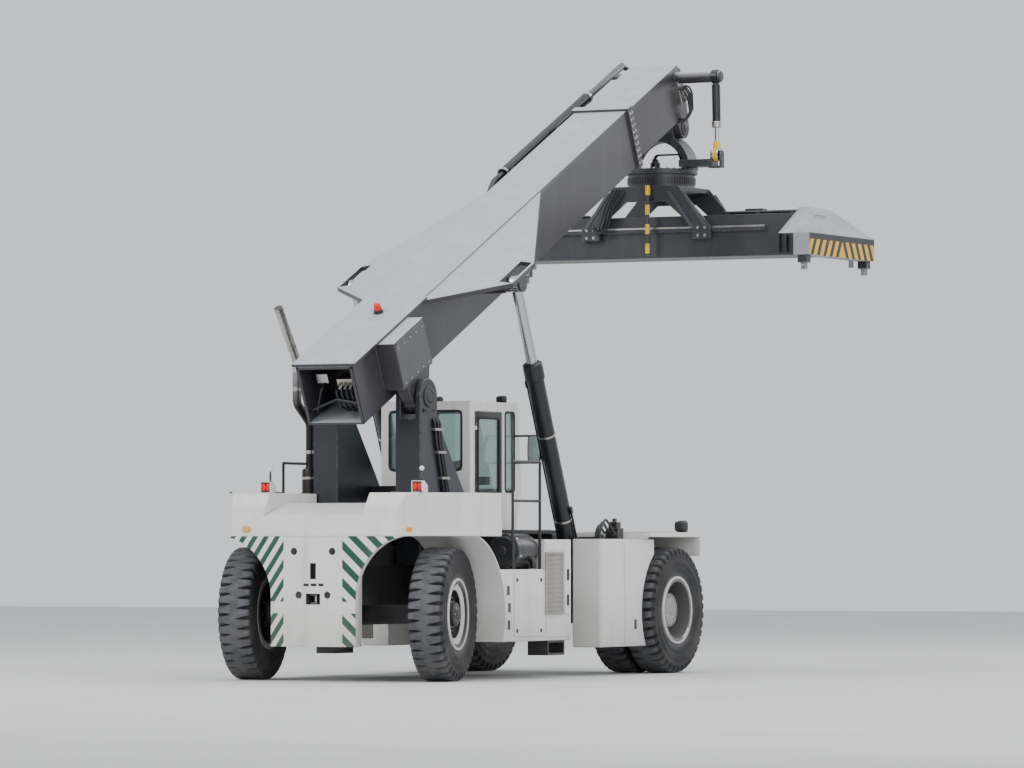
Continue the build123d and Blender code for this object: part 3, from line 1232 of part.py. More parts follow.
def beam_pipes():
    """Rigid pipe runs on the top of the main spreader beam, with their clamps."""
    runs = None
    z = BEAM_TOP + PIPE_LIFT
    for end in (-1, 1):
        y0, y1 = sorted((end * (FRAME_FOOT_Y + PIPE_CLAMP_T), end * (BEAM_HALF_L - PIPE_CLAMP_T)))
        for y in (y0 + PIPE_CLAMP_T, (y0 + y1) / 2, y1 - PIPE_CLAMP_T * 2):
            clamp = block(SPREADER_X + min(PIPE_RUNS) - PIPE_CLAMP_T, SPREADER_X + max(PIPE_RUNS) + PIPE_CLAMP_T, y,
                          y + PIPE_CLAMP_T, BEAM_TOP, z)
            runs = clamp if runs is None else runs + clamp
        for dx in PIPE_RUNS:
            runs += Pos(SPREADER_X + dx, (y0 + y1) / 2, z) * Rot(90, 0, 0) * Cylinder(PIPE_RUN_R, y1 - y0)
    return runs.solids()


def deck():
    """Walkway and cab support between the service boxes and the cab."""
    top = CAB_FLOOR
    plate = block(TOWER_FRONT_X + SIDE_GAP, TANK_FRONT_X - 900, -CAB_HALF_W - 100, CAB_HALF_W + 100, top - 60, top)
    for x in (TOWER_FRONT_X + 100, TANK_FRONT_X - 1100):
        plate += block(x, x + 200, -RAIL_OUT_Y + 20, RAIL_OUT_Y - 20, RAIL_TOP, top - 60)
    return plate


def main():
    """Build and write every sub-part."""
    os.makedirs("parts", exist_ok=True)
    save("chassis_frame", chassis_frame())
    save("counterweight", counterweight())
    save("hood", hood())
    save("engine_block", engine())
    save("drive_axle", drive_axle())
    save("steer_axle", steer_axle())
    save("deck", deck())
    save("towers", tower(1), tower(-1), tower_tie())
    save("mudguards", mudguard(1), mudguard(-1))
    save("front_fenders", fender(1), fender(-1))
    for name, side in SIDES:
        save("service_box_" + name, side_box(side))
        save("tank_" + name, tank(side))
        save("knuckle_" + name, knuckle(side))
        rim, tyre_solid = rear_wheel(side)
        save("rear_rim_" + name, rim)
        save("rear_tyre_" + name, tyre_solid)
        rims, tyres = front_wheels(side)
        save("front_rims_" + name, rims)
        save("front_tyres_" + name, *tyres)
        barrel, stem = lift_cylinder(side)
        save("lift_barrel_" + name, barrel)
        save("lift_rod_" + name, stem)
        save("spreader_arm_" + name, arm(side))
    save("cab_shell", cab_shell())
    save("cab_glass", *cab_glass())
    door, pane = door_parts()
    save("cab_door", door)
    save("cab_door_glass", pane)
    save("operator_seat", operator_seat())
    save("control_console", console())
    save("air_cleaner", air_cleaner())
    save("exhaust_stack", exhaust())
    save("handrails", *handrails())
    save("tail_lamps", *tail_lamps())
    save("beacon", beacon())
    save("louvre_panels", louvre(1), louvre(-1))
    save("mirrors", mirror(1), mirror(-1))
    save("work_lamps", *work_lamps())
    save("beam_pipes", *beam_pipes())
    save("access_steps", *access_steps())
    save("outer_boom", outer_boom())
    save("inner_boom", inner_boom())
    guide, tube = hose_guide()
    save("hose_guide", guide)
    save("hose_tube", tube)
    save("hanger", hanger())
    save("rotator_frame", rotator())
    save("marker_post", marker_post())
    save("spreader_beam", spreader_beam())
    barrel, stem = damper()
    save("damper_barrel", barrel)
    save("damper_rod", stem)


if __name__ == "__main__":
    main()
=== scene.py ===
import bmesh
import bpy
import logging
import math
from collections.abc import Callable
from dataclasses import dataclass, replace
from enum import Enum
from mathutils import Matrix, Vector


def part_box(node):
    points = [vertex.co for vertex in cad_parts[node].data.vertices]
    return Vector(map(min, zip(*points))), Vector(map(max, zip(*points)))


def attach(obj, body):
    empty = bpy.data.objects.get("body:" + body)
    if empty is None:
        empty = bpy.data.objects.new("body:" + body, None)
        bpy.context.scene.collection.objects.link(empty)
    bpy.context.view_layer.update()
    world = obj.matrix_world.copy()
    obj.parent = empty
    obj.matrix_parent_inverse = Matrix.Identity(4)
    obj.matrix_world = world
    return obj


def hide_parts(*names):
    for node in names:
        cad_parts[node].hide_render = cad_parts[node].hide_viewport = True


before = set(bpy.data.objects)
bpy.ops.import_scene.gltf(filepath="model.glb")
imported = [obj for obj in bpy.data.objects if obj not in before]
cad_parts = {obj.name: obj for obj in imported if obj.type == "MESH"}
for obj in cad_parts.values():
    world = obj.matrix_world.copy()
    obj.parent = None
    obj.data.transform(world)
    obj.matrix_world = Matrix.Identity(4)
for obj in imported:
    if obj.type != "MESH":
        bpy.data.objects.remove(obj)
log = logging.getLogger("reach_stacker")

# Metres, in the machine's own frame: X forward, Y to the left, Z up from the ground.
Point = tuple[float, float, float]

REAR_AXLE_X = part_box("hood")[0].x + 1.0
FRONT_AXLE_X = REAR_AXLE_X + 6.4
AXLE_Z = 0.925
PIVOT = Vector((REAR_AXLE_X + 0.8, 0.0, 3.95))
BOOM_TILT = math.radians(25.3)
BOOM = Matrix.Translation(PIVOT) @ Matrix.Rotation(-BOOM_TILT, 4, "Y")
SPREADER_X = (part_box("spreader_beam")[0].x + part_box("spreader_beam")[1].x) / 2
BEAM_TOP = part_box("spreader_beam")[1].z
END_BEAM_Z = (BEAM_TOP - 0.68, BEAM_TOP - 0.35)
END_FACE_Y = 3.06
RING_TOP = BEAM_TOP + 0.67
YOKE_Z = RING_TOP + 0.0803
STEER = math.radians(11.0)
KINGPIN_Y = 1.255
SIDES: tuple[tuple[str, int], ...] = (("left", 1), ("right", -1))


class Axis(Enum):
    """The direction that a bar or a turned shape runs in."""

    X = Vector((1, 0, 0))
    Y = Vector((0, 1, 0))
    Z = Vector((0, 0, 1))


class Graph:
    """Small helper that adds and links the nodes of one material."""

    def __init__(self, name: str) -> None:
        """Start an empty material called name, with its output and shader."""
        self.material = bpy.data.materials.new(name)
        self.material.use_nodes = True
        self.tree = self.material.node_tree
        self.shader = self.tree.nodes["Principled BSDF"]
        self.where = self.tree.nodes.new("ShaderNodeTexCoord")

    def add(self, kind: str, **inputs: object) -> bpy.types.Node:
        """Add a node; a value or an output socket goes to the input of that name.

        Args:
            kind: Blender's name of the node type.
            inputs: input name, with underscores for spaces, and its value or socket.

        Returns:
            The new node.
        """
        node = self.tree.nodes.new(kind)
        for key, value in inputs.items():
            target = node.inputs[int(key[1:])] if key[0] == "i" and key[1:].isdigit() else node.inputs[key.replace("_", " ")]
            if isinstance(value, bpy.types.NodeSocket):
                self.tree.links.new(value, target)
            else:
                target.default_value = value
        return node

    def math(self, operation: str, first: object, second: object = 0.0, third: object = 0.0) -> bpy.types.NodeSocket:
        """One arithmetic step; returns its result's socket."""
        node = self.add("ShaderNodeMath", i0=first, i1=second, i2=third)
        node.operation = operation
        return node.outputs[0]

    def noise(self, scale: float, detail: float = 4.0, stretch: Point = (1, 1, 1)) -> bpy.types.NodeSocket:
        """Noise on object coordinates, scaled per metre and stretched per axis."""
        place = self.add("ShaderNodeMapping", Vector=self.where.outputs["Object"], Scale=stretch)
        return self.add("ShaderNodeTexNoise", Vector=place.outputs[0], Scale=scale, Detail=detail).outputs["Fac"]

    def band(self, value: object, low: float, high: float) -> bpy.types.NodeSocket:
        """Stretch value so that low gives 0 and high gives 1, clamped."""
        node = self.add("ShaderNodeMapRange", Value=value)
        node.inputs["From Min"].default_value = low
        node.inputs["From Max"].default_value = high
        return node.outputs[0]

    def mix(self, factor: object, first: object, second: object) -> bpy.types.NodeSocket:
        """Blend two colours; returns the result's socket."""
        node = self.tree.nodes.new("ShaderNodeMix")
        node.data_type = "RGBA"
        for index, value in ((0, factor), (6, first), (7, second)):
            if isinstance(value, bpy.types.NodeSocket):
                self.tree.links.new(value, node.inputs[index])
            else:
                node.inputs[index].default_value = value if index == 0 else (*value, 1.0)
        return node.outputs[2]

    def put(self, socket: str, value: object) -> None:
        """Link or set one input of the shader."""
        if isinstance(value, bpy.types.NodeSocket):
            self.tree.links.new(value, self.shader.inputs[socket])
        else:
            self.shader.inputs[socket].default_value = value

    def relief(self, height: object, strength: float, distance: float) -> None:
        """Bump the surface by height."""
        bump = self.add("ShaderNodeBump", Height=height, Strength=strength, Distance=distance)
        self.tree.links.new(bump.outputs[0], self.shader.inputs["Normal"])

    def coordinate(self) -> bpy.types.Node:
        """Object coordinates split into X, Y and Z."""
        return self.add("ShaderNodeSeparateXYZ", Vector=self.where.outputs["Object"])

    def attribute(self, name: str) -> bpy.types.NodeSocket:
        """A number stored on the mesh; 0 where the mesh has none of that name."""
        node = self.add("ShaderNodeAttribute")
        node.attribute_name = name
        return node.outputs["Fac"]

    def facing_up(self) -> bpy.types.NodeSocket:
        """How far the surface faces up, from 0 to 1."""
        split = self.add("ShaderNodeSeparateXYZ", Vector=self.where.outputs["Normal"])
        return self.band(split.outputs[2], 0.25, 0.95)


class Stripes(Enum):
    """Where a second colour lies in bands on a painted piece."""

    NONE = "none"
    TAIL = "tail"
    END_BEAM = "end beam"
    POST = "post"


@dataclass(frozen=True)
class Enamel:
    """Painted steel that has worked outdoors: dusty tops, streaked sides and worn edges; on the boom the light top is a
    painted sky reflection, not dust.
    """

    name: str
    slot: str
    colour: Point
    # dust is the overlay colour: real dust on most finishes, a painted sky reflection on the boom's top. The two values
    # after it set how much of it covers up-facing faces and how evenly.
    dust: Point = (0.42, 0.40, 0.37)
    top_dust_and_sheen: float = 0.35
    even_top_sheen: float = 0.0
    veil: float = 0.10
    grime: float = 0.25
    roughness: float = 0.42
    wear: Point = (0.20, 0.19, 0.18)
    chips: float = 0.5
    edge_wear: float = 0.6
    stripes: Stripes = Stripes.NONE
    band_colour: Point = (0.0, 0.0, 0.0)
    low_dirt: float = 0.0
    dish: Point | None = None

    def material(self) -> bpy.types.Material:
        """Build the node material and return it."""
        g = Graph(self.name)
        paint: object = self.colour
        if self.stripes in (Stripes.TAIL, Stripes.POST):
            paint = g.mix(self.bands(g), self.colour, self.band_colour)
        # Faces marked dish take a darker colour: painted shade in the rims' recessed centres; the faces inside the
        # tail's tow pocket are darker too.
        if self.dish:
            paint = g.mix(g.attribute("dish"), paint, self.dish)
        cloud = g.noise(1.3, 6.0)
        fine = g.noise(38.0, 5.0)
        streak = g.noise(5.0, 5.0, (1.0, 1.0, 0.12))
        tone = g.mix(g.math("MULTIPLY", g.band(cloud, 0.42, 0.68), self.veil), paint, self.dust)
        streaks = g.math("MULTIPLY", g.band(streak, 0.52, 0.74), self.grime)
        tone = g.mix(streaks, tone, tuple(c * 0.45 for c in self.dust))
        # Up-facing faces take the overlay colour: dust on most finishes, and on the boom a painted sky reflection laid
        # evenly.
        patch = g.math("MAXIMUM", g.band(g.noise(3.1, 6.0), 0.30, 0.62), self.even_top_sheen)
        top = g.math("MULTIPLY", g.facing_up(), patch)
        tone = g.mix(g.math("MULTIPLY", top, self.top_dust_and_sheen), tone, self.dust)
        if self.low_dirt:
            height = g.coordinate().outputs[2]
            splash = g.math("ADD", g.band(height, 1.5, 0.4), g.math("MULTIPLY_ADD", cloud, 0.8, -0.55))
            splash = g.math("MULTIPLY", g.band(splash, 0.1, 1.0), self.low_dirt)
            tone = g.mix(splash, tone, (0.17, 0.145, 0.12))
        chipped = g.math("MULTIPLY", g.band(g.noise(21.0, 8.0), 0.665, 0.70), g.band(cloud, 0.45, 0.6))
        worn = g.math("MULTIPLY", g.attribute("edge"), g.band(fine, 0.50, 0.58))
        bare = g.math("MAXIMUM", g.math("MULTIPLY", chipped, self.chips), g.math("MULTIPLY", worn, self.edge_wear))
        tone = g.mix(bare, tone, self.wear)
        if self.stripes is Stripes.END_BEAM:
            tone = g.mix(self.end_beam_face(g), tone, self.end_beam_colours(g))
        g.put("Base Color", tone)
        rough = g.math("MULTIPLY_ADD", fine, 0.16, self.roughness - 0.08)
        g.put("Roughness", g.math("ADD", rough, g.math("MULTIPLY", top, 0.2)))
        g.put("Coat Weight", 0.15)
        g.put("Coat Roughness", 0.25)
        g.relief(g.math("ADD", g.math("MULTIPLY", fine, 0.06), cloud), 0.15, 0.004)
        return g.material

    def bands(self, g: Graph) -> bpy.types.NodeSocket:
        """Mask of the second colour, 0 or 1 with a thin soft edge."""
        x, y, z = g.coordinate().outputs
        side = g.math("ABSOLUTE", y)
        if self.stripes is Stripes.TAIL:
            lean = g.math("MULTIPLY_ADD", g.math("GREATER_THAN", y, 0.0), 0.55, 0.90)
            run = g.math("FRACT", g.math("DIVIDE", g.math("MULTIPLY_ADD", side, lean, z), 0.255))
            inside = g.math("MULTIPLY", g.math("GREATER_THAN", side, 0.46), g.math("LESS_THAN", x, REAR_AXLE_X - 0.985))
            gap = g.math("GREATER_THAN", g.math("ABSOLUTE", g.math("SUBTRACT", z, 1.02)), 0.08)
            inside = g.math("MULTIPLY", inside, gap)
        else:
            run = g.math("FRACT", g.math("DIVIDE", z, 0.30))
            inside = g.math("GREATER_THAN", z, 0.0)
        return g.math("MULTIPLY", g.band(g.math("ABSOLUTE", g.math("SUBTRACT", run, 0.5)), 0.245, 0.255), inside)

    @staticmethod
    def end_beam_face(g: Graph) -> bpy.types.NodeSocket:
        """Mask of the end beams' outer faces."""
        _, y, z = g.coordinate().outputs
        low, high = END_BEAM_Z
        inside = g.math("MULTIPLY", g.math("GREATER_THAN", z, low), g.math("LESS_THAN", z, high + 0.002))
        return g.math("MULTIPLY", inside, g.math("GREATER_THAN", g.math("ABSOLUTE", y), END_FACE_Y - 0.004))

    @staticmethod
    def end_beam_colours(g: Graph) -> bpy.types.NodeSocket:
        """Black and yellow bars that lean to the middle, under a dark strip."""
        x, _, z = g.coordinate().outputs
        along = g.math("ABSOLUTE", g.math("SUBTRACT", x, SPREADER_X))
        run = g.math("FRACT", g.math("DIVIDE", g.math("MULTIPLY_ADD", z, 0.55, along), 0.235))
        bars = g.band(g.math("ABSOLUTE", g.math("SUBTRACT", run, 0.5)), 0.235, 0.25)
        strip = g.math("LESS_THAN", z, END_BEAM_Z[0] + 0.24)
        return g.mix(g.math("MULTIPLY", bars, strip), (0.012, 0.012, 0.014), (0.82, 0.44, 0.005))


@dataclass(frozen=True)
class Rubber:
    """Tyre or seal rubber, greyed by dust on its tread and in its recesses."""

    name: str
    slot: str = "tyre_rubber"
    colour: Point = (0.013, 0.013, 0.015)
    dust: Point = (0.17, 0.155, 0.135)
    tread: Point = (0.098, 0.101, 0.113)

    def material(self) -> bpy.types.Material:
        """Build the node material and return it."""
        g = Graph(self.name)
        cloud = g.noise(2.3, 7.0)
        fine = g.noise(60.0, 4.0)
        scuff = g.noise(9.0, 6.0)
        rolled = g.math("MULTIPLY", g.attribute("tread"), g.math("MULTIPLY_ADD", g.band(scuff, 0.35, 0.65), 0.45, 0.55))
        tone = g.mix(rolled, self.colour, self.tread)
        low = g.band(g.coordinate().outputs[2], 1.1, 0.0)
        cover = g.math("MULTIPLY", g.band(cloud, 0.42, 0.72), g.math("MULTIPLY_ADD", low, 0.30, 0.16))
        g.put("Base Color", g.mix(cover, tone, self.dust))
        g.put("Roughness", g.math("MULTIPLY_ADD", fine, 0.2, 0.62))
        g.relief(g.math("MULTIPLY_ADD", fine, 0.6, cloud), 0.35, 0.006)
        return g.material


@dataclass(frozen=True)
class Metal:
    """Bare or plated metal with brushed or heat-stained variation."""

    name: str
    slot: str
    colour: Point
    roughness: float
    stain: Point = (0.25, 0.20, 0.16)
    stain_amount: float = 0.2
    soot_below: float = 0.0

    def material(self) -> bpy.types.Material:
        """Build the node material and return it."""
        g = Graph(self.name)
        cloud = g.noise(4.0, 7.0)
        brush = g.noise(30.0, 3.0, (1.0, 8.0, 8.0))
        tone = g.mix(g.math("MULTIPLY", g.band(cloud, 0.45, 0.7), self.stain_amount), self.colour, self.stain)
        if self.soot_below:
            height = g.math("MULTIPLY_ADD", cloud, 0.5, g.coordinate().outputs[2])
            tone = g.mix(g.band(height, self.soot_below + 0.5, self.soot_below - 0.2), tone, (0.045, 0.042, 0.040))
        g.put("Base Color", tone)
        g.put("Metallic", 1.0)
        g.put("Roughness", g.math("MULTIPLY_ADD", brush, 0.18, max(self.roughness - 0.09, 0.04)))
        g.relief(brush, 0.06, 0.002)
        return g.material


@dataclass(frozen=True)
class Moulded:
    """Moulded plastic or a lamp lens with a fine grain."""

    name: str
    slot: str
    colour: Point
    roughness: float = 0.5
    grain: float = 160.0
    glow: float = 0.0

    def material(self) -> bpy.types.Material:
        """Build the node material and return it."""
        g = Graph(self.name)
        fine = g.noise(self.grain, 2.0)
        cloud = g.noise(3.0, 5.0)
        tone = g.mix(g.math("MULTIPLY", g.band(cloud, 0.4, 0.75), 0.25), self.colour, tuple(c * 0.6 + 0.05 for c in self.colour))
        g.put("Base Color", tone)
        g.put("Roughness", g.math("MULTIPLY_ADD", fine, 0.15, self.roughness - 0.07))
        if self.glow:
            g.put("Emission Color", (*self.colour, 1.0))
            g.put("Emission Strength", self.glow)
        g.relief(fine, 0.12, 0.001)
        return g.material


@dataclass(frozen=True)
class Cloth:
    """Hard-wearing woven seat cloth."""

    name: str
    slot: str
    colour: Point
    thread: float = 0.004

    def material(self) -> bpy.types.Material:
        """Build the node material and return it."""
        g = Graph(self.name)
        x, y, z = g.coordinate().outputs
        step = math.tau / self.thread
        warp = g.math("SINE", g.math("MULTIPLY", y, step))
        weft = g.math("SINE", g.math("MULTIPLY", g.math("ADD", x, z), step))
        weave = g.math("MULTIPLY_ADD", g.math("MULTIPLY", warp, weft), 0.5, 0.5)
        cloud = g.noise(7.0, 5.0)
        g.put("Base Color", g.mix(g.math("MULTIPLY", weave, 0.5), self.colour, tuple(c * 2.2 for c in self.colour)))
        g.put("Roughness", g.math("MULTIPLY_ADD", cloud, 0.1, 0.84))
        g.put("Sheen Weight", 0.35)
        g.relief(g.math("MULTIPLY_ADD", weave, 0.5, cloud), 0.4, 0.0015)
        return g.material


@dataclass(frozen=True)
class Glazing:
    """Tinted safety glass with a film of dust."""

    name: str = "tinted_glazing"
    slot: str = "cab_glazing"

    def material(self) -> bpy.types.Material:
        """Build the node material and return it."""
        g = Graph(self.name)
        film = g.band(g.noise(2.2, 6.0), 0.45, 0.8)
        g.put("Base Color", g.mix(g.math("MULTIPLY", film, 0.3), (0.55, 0.68, 0.66), (0.55, 0.54, 0.50)))
        g.put("Transmission Weight", 0.92)
        g.put("IOR", 1.45)
        g.put("Roughness", g.math("MULTIPLY", film, 0.12))
        return g.material


Finish = Enamel | Rubber | Metal | Moulded | Cloth | Glazing

WHITE = Enamel("white_enamel", "white_paint", (0.78, 0.78, 0.75), wear=(0.34, 0.31, 0.28), low_dirt=0.45, grime=0.20,
               chips=0.15, edge_wear=0.4)
TAIL = Enamel("tail_enamel", "striped_tail", (0.77, 0.76, 0.73), stripes=Stripes.TAIL, band_colour=(0.001, 0.066, 0.035),
              wear=(0.34, 0.31, 0.28), low_dirt=0.30, veil=0.03, grime=0.20, chips=0.15, edge_wear=0.4, dish=(0.045, 0.043, 0.040))
# The boom's light-grey top is a painted sky reflection: the dust colour given here is that reflection's colour, laid
# evenly on every up-facing face.
BOOM_PAINT = Enamel("boom_enamel", "boom_paint", (0.036, 0.033, 0.043), dust=(0.50, 0.53, 0.60), top_dust_and_sheen=0.93,
                    even_top_sheen=0.9, veil=0.02, roughness=0.36, grime=0.05, chips=0.0, edge_wear=0.3)
TOWER_PAINT = Enamel("tower_enamel", "boom_paint", (0.014, 0.016, 0.023), dust=(0.16, 0.17, 0.19), veil=0.05, roughness=0.36,
                     grime=0.10, chips=0.0, edge_wear=0.3)
FAIRING = Enamel("fairing_enamel", "boom_paint", (0.066, 0.064, 0.084), dust=(0.30, 0.31, 0.36), top_dust_and_sheen=0.5, veil=0.04,
                 chips=0.0, edge_wear=0.4)
SPREADER = Enamel("spreader_enamel", "spreader_paint", (0.027, 0.029, 0.036), dust=(0.20, 0.21, 0.24), veil=0.07,
                  roughness=0.46, chips=0.1)
COVER = Enamel("cover_enamel", "arm_paint", (0.28, 0.28, 0.32), dust=(0.48, 0.48, 0.54), top_dust_and_sheen=0.6, roughness=0.5,
               stripes=Stripes.END_BEAM, chips=0.1)
POST = Enamel("post_enamel", "hazard_post", (0.85, 0.52, 0.005), stripes=Stripes.POST, band_colour=(0.02, 0.02, 0.02),
              veil=0.03)
YELLOW = Enamel("yellow_enamel", "hazard_post", (0.80, 0.52, 0.02), chips=0.2, veil=0.05)
CHASSIS = Enamel("chassis_enamel", "frame_dark", (0.016, 0.017, 0.019), dust=(0.14, 0.13, 0.12), grime=0.30, low_dirt=0.5,
                 chips=0.05, edge_wear=0.3)
# The rims are silver all over; their darker dish colours are painted shade in the recessed centres.
RIM = Enamel("rim_enamel", "rim_silver", (0.66, 0.66, 0.64), dust=(0.34, 0.31, 0.27), grime=0.30, low_dirt=0.30, chips=0.2,
             dish=(0.115, 0.115, 0.12))
REAR_RIM = replace(RIM, name="rear_rim_enamel", dish=(0.030, 0.030, 0.033))
# The front hub cap's grey is painted shade on the rims' silver paint.
HUB_IN_SHADE = Enamel("shaded_hub_enamel", "rim_silver", (0.30, 0.30, 0.30), dust=(0.22, 0.19, 0.16), grime=0.4, roughness=0.5, chips=0.2)
AXLE = Enamel("axle_enamel", "axle_grey", (0.020, 0.020, 0.023), dust=(0.15, 0.13, 0.11), grime=0.35, roughness=0.5, chips=0.1)
CAST = Enamel("engine_enamel", "engine_iron", (0.08, 0.08, 0.09), grime=0.5, roughness=0.6)
BLACK = Enamel("black_enamel", "cylinder_black", (0.008, 0.009, 0.013), dust=(0.10, 0.10, 0.11), top_dust_and_sheen=0.2, veil=0.04,
               grime=0.06, roughness=0.34, chips=0.0, edge_wear=0.2)
RAIL = Enamel("rail_enamel", "rail_steel", (0.014, 0.014, 0.016), dust=(0.16, 0.15, 0.14), roughness=0.42, chips=0.0)
TUBE = Enamel("tube_enamel", "rail_steel", (0.085, 0.086, 0.095), dust=(0.24, 0.24, 0.25), roughness=0.35, chips=0.0)
LOUVRE = Enamel("louvre_enamel", "white_paint", (0.33, 0.31, 0.29), dust=(0.33, 0.30, 0.27), low_dirt=0.3, chips=0.0)
RUBBER = Rubber("tyre_rubber_worn")
SEAL = Rubber("seal_rubber", "frame_dark", dust=(0.08, 0.08, 0.08))
CHROME = Metal("hard_chrome", "rod_chrome", (0.55, 0.57, 0.61), 0.18, stain_amount=0.10)
STEEL = Metal("stained_steel", "exhaust_steel", (0.52, 0.51, 0.49), 0.34, stain_amount=0.55)
STACK = Metal("sooty_stack", "exhaust_steel", (0.55, 0.54, 0.52), 0.38, stain_amount=0.45, soot_below=4.3)
MIRROR_GLASS = Metal("mirror_silver", "mirror_black", (0.85, 0.87, 0.88), 0.06, stain_amount=0.05)
PLASTIC = Moulded("black_plastic", "console_plastic", (0.025, 0.025, 0.028), 0.55)
MIRROR_CASE = Moulded("mirror_case", "mirror_black", (0.016, 0.016, 0.018), 0.5)
SEAT_CLOTH = Cloth("seat_cloth", "seat_trim", (0.020, 0.021, 0.026))
RED_LENS = Moulded("red_lens", "lamp_red", (0.62, 0.015, 0.01), 0.15, grain=40.0, glow=0.25)
AMBER = Moulded("amber_lens", "lamp_amber", (0.85, 0.33, 0.02), 0.2, grain=40.0, glow=0.1)
LAMP = Moulded("clear_lens", "lamp_clear", (0.85, 0.87, 0.88), 0.12, grain=40.0)
GLASS = Glazing()


class Paints:
    """Builds each material once."""

    made: dict[str, bpy.types.Material] = {}

    @classmethod
    def of(cls, finish: Finish) -> bpy.types.Material:
        """The Blender material of a finish."""
        if finish.name not in cls.made:
            cls.made[finish.name] = finish.material()
        return cls.made[finish.name]


class Stock:
    """Sheet, bar and turned stock collected in one mesh before it becomes a piece."""

    def __init__(self) -> None:
        """Start with an empty mesh."""
        self.bm = bmesh.new()

    def box(self, low: Point, high: Point, place: Matrix | None = None) -> "Stock":
        """Add a block between two corners."""
        middle = [(a + b) / 2 for a, b in zip(low, high)]
        size = [abs(b - a) for a, b in zip(low, high)]
        matrix = Matrix.Translation(middle) @ Matrix.Diagonal((*size, 1.0))
        bmesh.ops.create_cube(self.bm, size=1.0, matrix=(place @ matrix) if place else matrix)
        return self

    def loft(self, sections: list[list[Point]], place: Matrix | None = None, ring: bool = False) -> "Stock":
        """Skin a row of closed outlines of the same number of corners.

        Args:
            sections: outlines, in order.
            place: matrix for every corner.
            ring: join the last outline to the first instead of capping both.

        Returns:
            This stock.
        """
        rows = [[self.bm.verts.new((place @ Vector(p)) if place else p) for p in section] for section in sections]
        made = []
        count = len(rows[0])
        pairs = list(zip(rows, rows[1:])) + ([(rows[-1], rows[0])] if ring else [])
        for first, second in pairs:
            for i in range(count):
                j = (i + 1) % count
                made.append(self.bm.faces.new((first[i], first[j], second[j], second[i])))
        if not ring:
            made.append(self.bm.faces.new(rows[0]))
            made.append(self.bm.faces.new(list(reversed(rows[-1]))))
        bmesh.ops.recalc_face_normals(self.bm, faces=made)
        return self

    def plate(self, outline: list[tuple[float, float]], axis: Axis, start: float, end: float,
              place: Matrix | None = None) -> "Stock":
        """Extrude a flat outline along an axis from start to end."""
        def corner(u: float, v: float, w: float) -> Point:
            return {Axis.X: (w, u, v), Axis.Y: (u, w, v), Axis.Z: (u, v, w)}[axis]
        return self.loft([[corner(u, v, w) for u, v in outline] for w in (start, end)], place)

    def turned(self, profile: list[tuple[float, float]], centre: Point, axis: Axis = Axis.Y, steps: int = 48,
               place: Matrix | None = None) -> "Stock":
        """Turn a closed profile of (radius, height) pairs about an axis through centre."""
        turn = axis.value.to_track_quat("Z", "Y").to_matrix().to_4x4() if axis is not Axis.Z else Matrix.Identity(4)
        matrix = Matrix.Translation(centre) @ turn
        if place:
            matrix = place @ matrix
        sections = []
        for i in range(steps):
            angle = 2 * math.pi * i / steps
            sections.append([(r * math.cos(angle), r * math.sin(angle), h) for r, h in profile])
        return self.loft(sections, matrix, ring=True)

    def bar(self, start: Point, end: Point, radius: float, sides: int = 20, place: Matrix | None = None) -> "Stock":
        """Add a round bar with slightly chamfered ends between two points."""
        a, b = Vector(start), Vector(end)
        if place:
            a, b = place @ a, place @ b
        turn = (b - a).to_track_quat("Z", "Y").to_matrix().to_4x4()
        length = (b - a).length
        lip = min(radius * 0.12, length * 0.2)
        rings = [(radius - lip, 0.0), (radius, lip), (radius, length - lip), (radius - lip, length)]
        matrix = Matrix.Translation(a) @ turn
        return self.loft([[(r * math.cos(t), r * math.sin(t), h) for t in
                           (2 * math.pi * i / sides for i in range(sides))] for r, h in rings], matrix)

    def bolt(self, centre: Point, axis: Vector, radius: float = 0.018, height: float = 0.014) -> "Stock":
        """Add a hexagon head on a washer."""
        a = Vector(centre)
        self.bar(a, a + axis * height * 0.3, radius * 1.35, 16)
        return self.bar(a, a + axis * height, radius, 6)

    def node(self, name: str, split: bool = False) -> "Stock":
        """Add a merged copy of a CAD node's triangles with its flat faces joined.

        Args:
            name: the CAD node.
            split: cut faces of many corners into triangles again, for shapes with notched faces.

        Returns:
            This stock.
        """
        start = len(self.bm.faces)
        self.bm.from_mesh(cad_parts[name].data)
        self.bm.faces.ensure_lookup_table()
        bmesh.ops.remove_doubles(self.bm, verts=self.bm.verts[:], dist=2e-5)
        self.bm.faces.ensure_lookup_table()
        faces = self.bm.faces[start:]
        edges = list({edge for face in faces for edge in face.edges})
        verts = list({vert for face in faces for vert in face.verts})
        bmesh.ops.dissolve_limit(self.bm, angle_limit=math.radians(0.6), verts=verts, edges=edges)
        if split:
            bmesh.ops.triangulate(self.bm, faces=[face for face in self.bm.faces if len(face.verts) > 4])
        return self

    def carve(self, cutter: "Stock") -> "Stock":
        """Cut another stock out of this one."""
        work, tool = (bpy.data.objects.new("blank", stock.mesh("blank")) for stock in (self, cutter))
        for obj in (work, tool):
            bpy.context.scene.collection.objects.link(obj)
        cut = work.modifiers.new("cut", "BOOLEAN")
        cut.object, cut.operation, cut.solver = tool, "DIFFERENCE", "EXACT"
        self.bm = bmesh.new()
        self.bm.from_mesh(Piece.evaluate(work))
        for obj in (work, tool):
            bpy.data.objects.remove(obj)
        return self

    def mesh(self, name: str) -> bpy.types.Mesh:
        """Turn the stock into a mesh and drop the working copy."""
        mesh = bpy.data.meshes.new(name)
        self.bm.to_mesh(mesh)
        self.bm.free()
        return mesh

